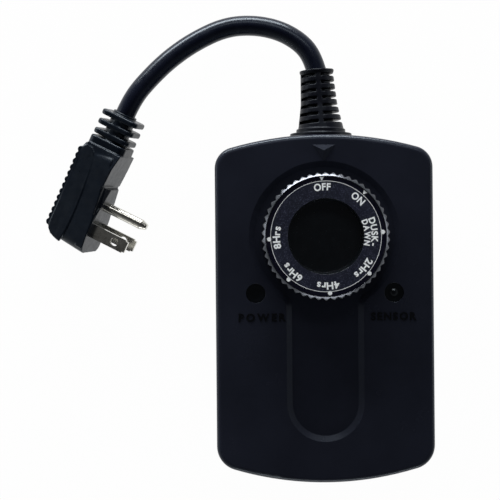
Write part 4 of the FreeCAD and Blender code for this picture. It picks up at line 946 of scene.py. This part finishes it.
@dataclass
class DialPrint:
    """Marks on the dial label: a dark ring round its outer edge, and the printed white settings, marks and
    thin circle.
    """

    thickness: float = 0.04
    border_inner: float = 24.45
    border_outer: float = 26.25
    border_thickness: float = 0.015
    circle_radius: float = 24.3
    circle_width: float = 0.2
    dot_radius: float = 25.0
    dot_size: float = 0.95
    dot_corners: int = 24
    ring_corners: int = 180
    arrow_outer: float = 26.2
    arrow_inner: float = 24.5
    arrow_half: float = 1.05
    text_radius: float = 20.3
    text_height: float = 3.15
    capital_stretch: float = 0.92
    hour_stretch: float = 1.06
    text_weight: float = 0.145
    text_gap: float = 0.39
    outer_radius: float = 20.0
    outer_height: float = 2.85
    inner_radius: float = 16.95
    inner_height: float = 2.6
    inner_stretch: float = 0.86
    settings: tuple[Setting, ...] = (
        Setting("OFF", -3.8, -4.0, arrow=True), Setting("ON", 41.8, 40.6, arrow=True),
        Setting("DUSK-", 86.0, 85.0, "DAWN"), Setting("2Hrs", 131.0, 131.0),
        Setting("4Hrs", 176.5, 178.0), Setting("6Hrs", 221.5, 223.5), Setting("8Hrs", 267.5, 269.0))

    def build(self) -> None:
        """Lay the dial's dark ring first, then print all that is white."""
        low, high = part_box("dial_label")
        centre = Vector(((low.x + high.x) / 2, (low.y + high.y) / 2, high.z))
        border = self.flat_ring(centre, self.border_inner, self.border_outer, self.border_thickness)
        dark = link_object("dial_border", border)
        dress(dark, "label_print", KNOB_BODY, Paint.BORDER.value)
        meshes = self.words(centre)
        marks = [self.mark(setting, centre / MM) for setting in self.settings]
        meshes.append(flat_shapes(marks, high.z / MM, self.thickness))
        half = self.circle_width / 2
        meshes.append(self.flat_ring(centre, self.circle_radius - half, self.circle_radius + half,
                                     self.thickness))
        piece = join_piece("dial_print", meshes)
        dress(piece, "label_print", KNOB_BODY, Paint.PRINT.value)

    def words(self, centre: Vector) -> list[Mesh]:
        """Set the letters of all settings.

        Args:
            centre: Middle of the dial in metres.

        Returns:
            The letters' meshes.
        """
        meshes = []
        for setting in self.settings:
            for text, height, stretch, radius in self.lines(setting):
                letters = Lettering(height, self.text_weight, self.thickness, self.text_gap, stretch)
                meshes += letters.on_arc(text, centre, radius, setting.word_angle)
        return meshes

    def lines(self, setting: Setting) -> list[tuple[str, float, float, float]]:
        """Set out a setting's words in one line, or in two if it has an inner word.

        Args:
            setting: The setting.

        Returns:
            Text, cap height, stretch and baseline radius of each line.
        """
        if setting.inner_word:
            return [(setting.word, self.outer_height, 1.0, self.outer_radius),
                    (setting.inner_word, self.inner_height, self.inner_stretch, self.inner_radius)]
        stretch = self.capital_stretch if setting.word.isupper() else self.hour_stretch
        return [(setting.word, self.text_height, stretch, self.text_radius)]

    def mark(self, setting: Setting, centre: Vector) -> list[Pair]:
        """Draw a setting's mark, an arrow or a dot.

        Args:
            setting: The setting.
            centre: Middle of the dial in millimetres.

        Returns:
            Its outline.
        """
        turn = math.radians(setting.mark_angle)
        out = Vector((math.sin(turn), math.cos(turn)))
        side = Vector((out.y, -out.x)) * self.arrow_half
        middle = centre.to_2d()
        if not setting.arrow:
            return oval(self.dot_corners, middle + out * self.dot_radius, (self.dot_size, self.dot_size))
        tip = middle + out * self.arrow_inner
        back = middle + out * self.arrow_outer
        return [tuple(corner) for corner in (tip, back + side, back - side)]

    def flat_ring(self, centre: Vector, inner: float, outer: float, thickness: float) -> Mesh:
        """Thin ring round the dial's middle.

        Args:
            centre: Middle of the ring's lower side, in metres.
            inner: Inner radius in millimetres.
            outer: Outer radius in millimetres.
            thickness: Height of the ring in millimetres.

        Returns:
            The ring's mesh.
        """
        work = bmesh.new()
        outline = [(inner, 0), (inner, thickness), (outer, thickness), (outer, 0)]
        rings = turn_rings(work, outline, self.ring_corners, centre)
        wall(work, rings[-1], rings[0])
        return to_solid(work, "ring")


@dataclass
class Cord:
    """The short cord from the boot to the plug: its jacket, boot, plug and prongs."""

    diameter: float = 9.3
    route: tuple[Triple, ...] = (
        (-1.96, 109.9, 22), (-3.8, 116.29, 21.95), (-9.11, 122.95, 21.7), (-18.63, 128.72, 20.9),
        (-31.01, 131.51, 19.9), (-44.24, 130.65, 19.1), (-57.94, 124.47, 18.8), (-69.74, 116.47, 19),
        (-79.67, 107.02, 19.6), (-87.48, 97.7, 20.4), (-90.9, 90.5, 19.3))
    length: float = 115.0
    round_steps: int = 10
    run_steps: int = 16
    boot_cell: float = 0.3
    boot_rounds: int = 4
    plug_cell: float = 0.25
    plug_rounds: int = 2
    plug_place: Triple = (-90.9, 90.5, 19.3)
    plug_turn: Triple = (8, -10.5, -26.9)
    back_x: float = -10.15
    back_half: float = 8.8
    front_x: float = 11.2
    front_half: float = 12.7
    web: tuple[Triple, ...] = ((-2.6, 0.1, 5.5), (-18.6, 0.1, 6.3))
    web_corners: int = 24
    floor_gap: float = 0.1
    web_half: float = 7.45
    collar_half: float = 9.2
    shoulder_top: float = -14.4
    shoulder_foot: float = -25.0
    bulks: tuple[tuple[float, ...], ...] = ((-8.4, 9.4, 8.6, -18.0, -25.0), (3.0, 8.6, 8.1, -25.0, -33.6))
    cell_columns: int = 4
    cell_rows: int = 3
    pad_end: tuple[Pair, ...] = ((-36.0, 5.0), (-49.0, 12.5), (-64.2, 12.5), (-64.2, 5.0))
    pad_reach: Pair = (7.0, 10.38)
    pad_inset: float = 0.15
    facet: tuple[Triple, ...] = ((6.6, -33.6, 13.6), (10.9, -33.6, 4.0), (10.8, -57.0, 13.2))
    cutter_reach: Pair = (6.0, 4.0)
    bumps: int = 13
    bump_corners: int = 16
    bump_pitch: float = 3.1
    bump_radius: float = 1.6
    bump_half: float = 8.9
    first_bump: float = -23.0
    grip_rise: float = 0.42
    grip_sink: float = 1.5
    grip_start: float = -24.0
    grip_run: float = 22.0
    grip_least: float = -0.3
    grip_outline: tuple[Pair, ...] = (
        (-9.7, -21.5), (-9.2, -20.2), (-7.5, -19.6), (-5.0, -19.9), (-3.2, -21.8), (-2.1, -25.3),
        (-1.3, -32.2), (-0.6, -40.5), (-0.2, -49.5), (-0.2, -55.2), (-0.4, -59.5), (-0.9, -63.6),
        (-1.4, -66.3), (-4.5, -65.7), (-7.2, -64.8), (-9.3, -62.9), (-9.7, -60.9))

    def build(self) -> None:
        """Lay the jacket along the route, and mould the boot and the plug."""
        curve = bpy.data.curves.new("cord_jacket_run", "CURVE")
        curve.dimensions = "3D"
        curve.bevel_depth = self.diameter / 2 * MM
        curve.bevel_resolution = self.round_steps
        curve.resolution_u = self.run_steps
        curve.use_fill_caps = True
        spline = curve.splines.new("NURBS")
        spline.points.add(len(self.route) - 1)
        for point, place in zip(spline.points, self.route):
            point.co = (*(Vector(place) * MM), 1)
        spline.order_u = 3
        spline.use_endpoint_u = True
        jacket = link_object("cord_jacket_run", curve)
        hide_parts("power_cord")
        dress(jacket, "cord_jacket", CASE_BODY)
        boot = moulded("boot_moulding", "strain_relief_boot", self.boot_cell, self.boot_rounds)
        dress(boot, "boot_rubber", CASE_BODY)
        plug = moulded("plug_moulding", "plug_body", self.plug_cell, self.plug_rounds,
                       self.plug_skins(), self.pad_cutters())
        dress(plug, "plug_vinyl", CASE_BODY)

    def plug_solid(self, outlines: Iterable[Iterable[Triple]]) -> Mesh:
        """Closed mesh between two outlines of the plug's own frame, seated where the plug lies.

        Args:
            outlines: Corners of its two ends, in the same order.

        Returns:
            The mesh in metres, never under the floor.
        """
        angles = [math.radians(angle) for angle in self.plug_turn]
        seat = Matrix.Translation(Vector(self.plug_place)) @ Euler(angles, "XYZ").to_matrix().to_4x4()
        work = bmesh.new()
        ends = []
        for outline in outlines:
            places = [seat @ Vector(corner) * MM for corner in outline]
            ends.append([work.verts.new((place.x, place.y, max(place.z, self.floor_gap * MM)))
                         for place in places])
        cap(work, *ends)
        return to_solid(work, "plug_solid")

    def plug_skins(self) -> list[Mesh]:
        """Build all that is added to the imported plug.

        Returns:
            Meshes of the neck's web, shoulders, front, grips, pad ends and ridges.
        """
        skins = [self.plug_solid(
            [(x, along, z) for x, z in oval(self.web_corners, (middle, 0), (reach, self.web_half))]
            for along, middle, reach in self.web)]
        for bulk in self.bulks:
            skins += self.cells(*bulk)
        for side in (-1, 1):
            skins.append(self.plug_solid(
                [(x, y, side * (self.side_half(x) + lift * self.fade(y))) for x, y in self.grip_outline]
                for lift in (-self.grip_sink, self.grip_rise)))
            skins.append(self.plug_solid(
                [(x, y, side * min(z, self.side_half(x) - self.pad_inset)) for y, z in self.pad_end]
                for x in self.pad_reach))
        return skins + [self.bump(count) for count in range(self.bumps)]

    def cells(self, back: float, front_top: float, front_foot: float, top: float,
              foot: float) -> list[Mesh]:
        """Blocks side by side that fill the plug out to its half width.

        Args:
            back: Where they start, across the plug.
            front_top: Where they end at their top.
            front_foot: Where they end at their foot.
            top: Their top, along the cord's line.
            foot: Their foot, along the cord's line.

        Returns:
            The blocks' meshes.
        """
        rows = []
        for step in range(self.cell_rows + 1):
            share = step / self.cell_rows
            reach = front_top + share * (front_foot - front_top) - back
            rows.append([(back + across / self.cell_columns * reach, top + share * (foot - top))
                         for across in range(self.cell_columns + 1)])
        blocks = []
        for across in range(self.cell_columns):
            for upper, lower in zip(rows, rows[1:]):
                outline = upper[across:across + 2] + lower[across:across + 2][::-1]
                blocks.append(self.plug_solid(
                    [(x, y, side * self.shoulder_half(x, y)) for x, y in outline] for side in (-1, 1)))
        return blocks

    def bump(self, count: int) -> Mesh:
        """Build a round ridge of the plug's back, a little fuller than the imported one.

        Args:
            count: Its number from the cord's end.

        Returns:
            Its mesh.
        """
        middle = (self.back_x, self.first_bump - count * self.bump_pitch)
        outline = oval(self.bump_corners, middle, (self.bump_radius, self.bump_radius))
        return self.plug_solid([(x, y, z) for x, y in outline] for z in (-self.bump_half, self.bump_half))

    def pad_cutters(self) -> list[Mesh]:
        """Wedges cut beside the pad, which leave it narrow at the ground pin and wide at the blades."""
        return [self.plug_solid([(x + run, y, side * (z + rise)) for x, y, z in self.facet]
                                for run, rise in ((0, 0), self.cutter_reach)) for side in (-1, 1)]

    def shoulder_half(self, x: float, y: float) -> float:
        """Half width below the collar: its own at the top, the side's from the shoulder's foot down."""
        share = min((y - self.shoulder_top) / (self.shoulder_foot - self.shoulder_top), 1.0)
        return self.collar_half + share * (self.side_half(x) - self.collar_half)

    def fade(self, y: float) -> float:
        """Share of the skin's thickness at a distance y from the cord's entry: thin at the neck."""
        return min(max((self.grip_start - y) / self.grip_run, self.grip_least), 1.0)

    def side_half(self, x: float) -> float:
        """Half width of the plug's body at a distance x from the cord's line, towards the prongs."""
        share = (x - self.back_x) / (self.front_x - self.back_x)
        return self.back_half + share * (self.front_half - self.back_half)


# Camera, light and floor

@dataclass(frozen=True)
class SoftBox:
    """Wide studio lamp aimed at the object, with angles in degrees and sizes in metres."""

    name: str
    azimuth: float
    elevation: float
    distance: float
    width: float
    height: float
    radiance: float

    def hang(self, target: Vector) -> None:
        """Place the lamp.

        Args:
            target: What it aims at, in metres.
        """
        lamp = bpy.data.lights.new(self.name, "AREA")
        lamp.shape = "RECTANGLE"
        lamp.size = self.width
        lamp.size_y = self.height
        lamp.energy = self.radiance * math.pi * self.width * self.height
        holder = link_object(self.name, lamp)
        turn = math.radians(self.azimuth)
        rise = math.radians(self.elevation)
        away = Vector((math.cos(turn) * math.cos(rise), math.sin(turn) * math.cos(rise), math.sin(rise)))
        holder.location = target + away * self.distance
        holder.rotation_mode = "QUATERNION"
        holder.rotation_quaternion = away.to_track_quat("Z", "Y")


@dataclass
class Studio:
    """Floor, whose radius is in metres, surrounding light, lamps and the camera above the case."""

    camera_place: Triple = (-33.4, 26.5, 644.0)
    camera_roll: float = -0.5
    lens: float = 96.3
    sensor: float = 36.0
    floor_radius: float = 8.0
    floor_corners: int = 96
    floor_drop: float = 0.05
    floor_white: float = 0.9
    floor_share: float = 0.98
    sky: tuple[Pair, ...] = (
        (0.0, 0.8), (0.1, 0.6), (0.35, 0.4), (0.5, 0.2), (0.75, 0.1), (0.88, 0.04), (1.0, 0.03))
    lamps: tuple[SoftBox, ...] = (
        SoftBox("cord_end_lamp", 100, 9, 1.2, 1.2, 0.34, 24),
        SoftBox("left_lamp", 172, 8, 1.2, 0.5, 0.25, 4),
        SoftBox("outlet_end_lamp", -85, 9, 1.2, 1.0, 0.25, 5.5),
        SoftBox("right_lamp", 5, 8, 1.2, 0.5, 0.25, 3.5),
        SoftBox("high_lamp", 82, 50, 1.3, 0.9, 0.2, 4))

    def build(self) -> None:
        """Set up everything round the object."""
        self.view_from_above()
        self.lay_floor()
        self.light_world()
        low, high = CAD_BOX
        for lamp in self.lamps:
            lamp.hang((low + high) / 2)
        bpy.context.scene.view_settings.view_transform = "Standard"
        log.info("studio: %d lamps", len(self.lamps))

    def view_from_above(self) -> None:
        """Place the camera straight above, where the photograph was taken from."""
        camera = bpy.data.cameras.new("camera")
        camera.lens = self.lens
        camera.sensor_width = self.sensor
        holder = link_object("camera", camera)
        holder.location = Vector(self.camera_place) * MM
        holder.rotation_euler = (0, 0, math.radians(self.camera_roll))
        bpy.context.scene.camera = holder

    def lay_floor(self) -> None:
        """Lay a wide white floor that shows only a trace of the object's shadow."""
        work = bmesh.new()
        bmesh.ops.create_circle(
            work, cap_ends=True, segments=self.floor_corners, radius=self.floor_radius)
        floor = link_object("floor", to_mesh(work, "floor"))
        floor.location = (0, 0, -self.floor_drop * MM)
        sheet = NodeSheet(bpy.data.materials.new("floor_white"))
        rays = sheet.add("ShaderNodeLightPath").outputs
        seen = rays["Is Camera Ray"]
        for kind in ("Is Glossy Ray", "Is Transmission Ray"):
            most = sheet.add("ShaderNodeMath", {0: seen, 1: rays[kind]}, operation="MAXIMUM")
            seen = most.outputs["Value"]
        share = sheet.add("ShaderNodeMath", {0: seen, 1: self.floor_share}, operation="MULTIPLY")
        plain = sheet.add("ShaderNodeBsdfDiffuse", {"Color": (*[self.floor_white] * 3, 1)})
        bright = sheet.add("ShaderNodeEmission", {"Color": (1, 1, 1, 1), "Strength": 1.0})
        mix = sheet.add("ShaderNodeMixShader", {
            0: share.outputs["Value"], 1: plain.outputs["BSDF"], 2: bright.outputs["Emission"]})
        sheet.add("ShaderNodeOutputMaterial", {"Surface": mix.outputs["Shader"]})
        floor.data.materials.append(sheet.owner)

    def light_world(self) -> None:
        """Surround the object with light that is bright at the horizon and dim overhead."""
        world = bpy.data.worlds.new("studio_walls")
        bpy.context.scene.world = world
        sheet = NodeSheet(world)
        height = sheet.add("ShaderNodeSeparateXYZ", {"Vector": sheet.place["Generated"]}).outputs["Z"]
        light = sheet.ramp(height, [(rise, (level, level, level)) for rise, level in self.sky])
        background = sheet.add("ShaderNodeBackground", {"Color": light}).outputs["Background"]
        sheet.add("ShaderNodeOutputWorld", {"Surface": background})


def main() -> None:
    """Build the scene in order."""
    logging.basicConfig(level=logging.INFO, format="%(message)s")
    Studio().build()
    case = Case()
    case.dress_solids()
    Cord().build()
    case.build_windows()
    case.build_words()
    SelectorKnob().build()
    DialPrint().build()


if __name__ == "__main__":
    main()
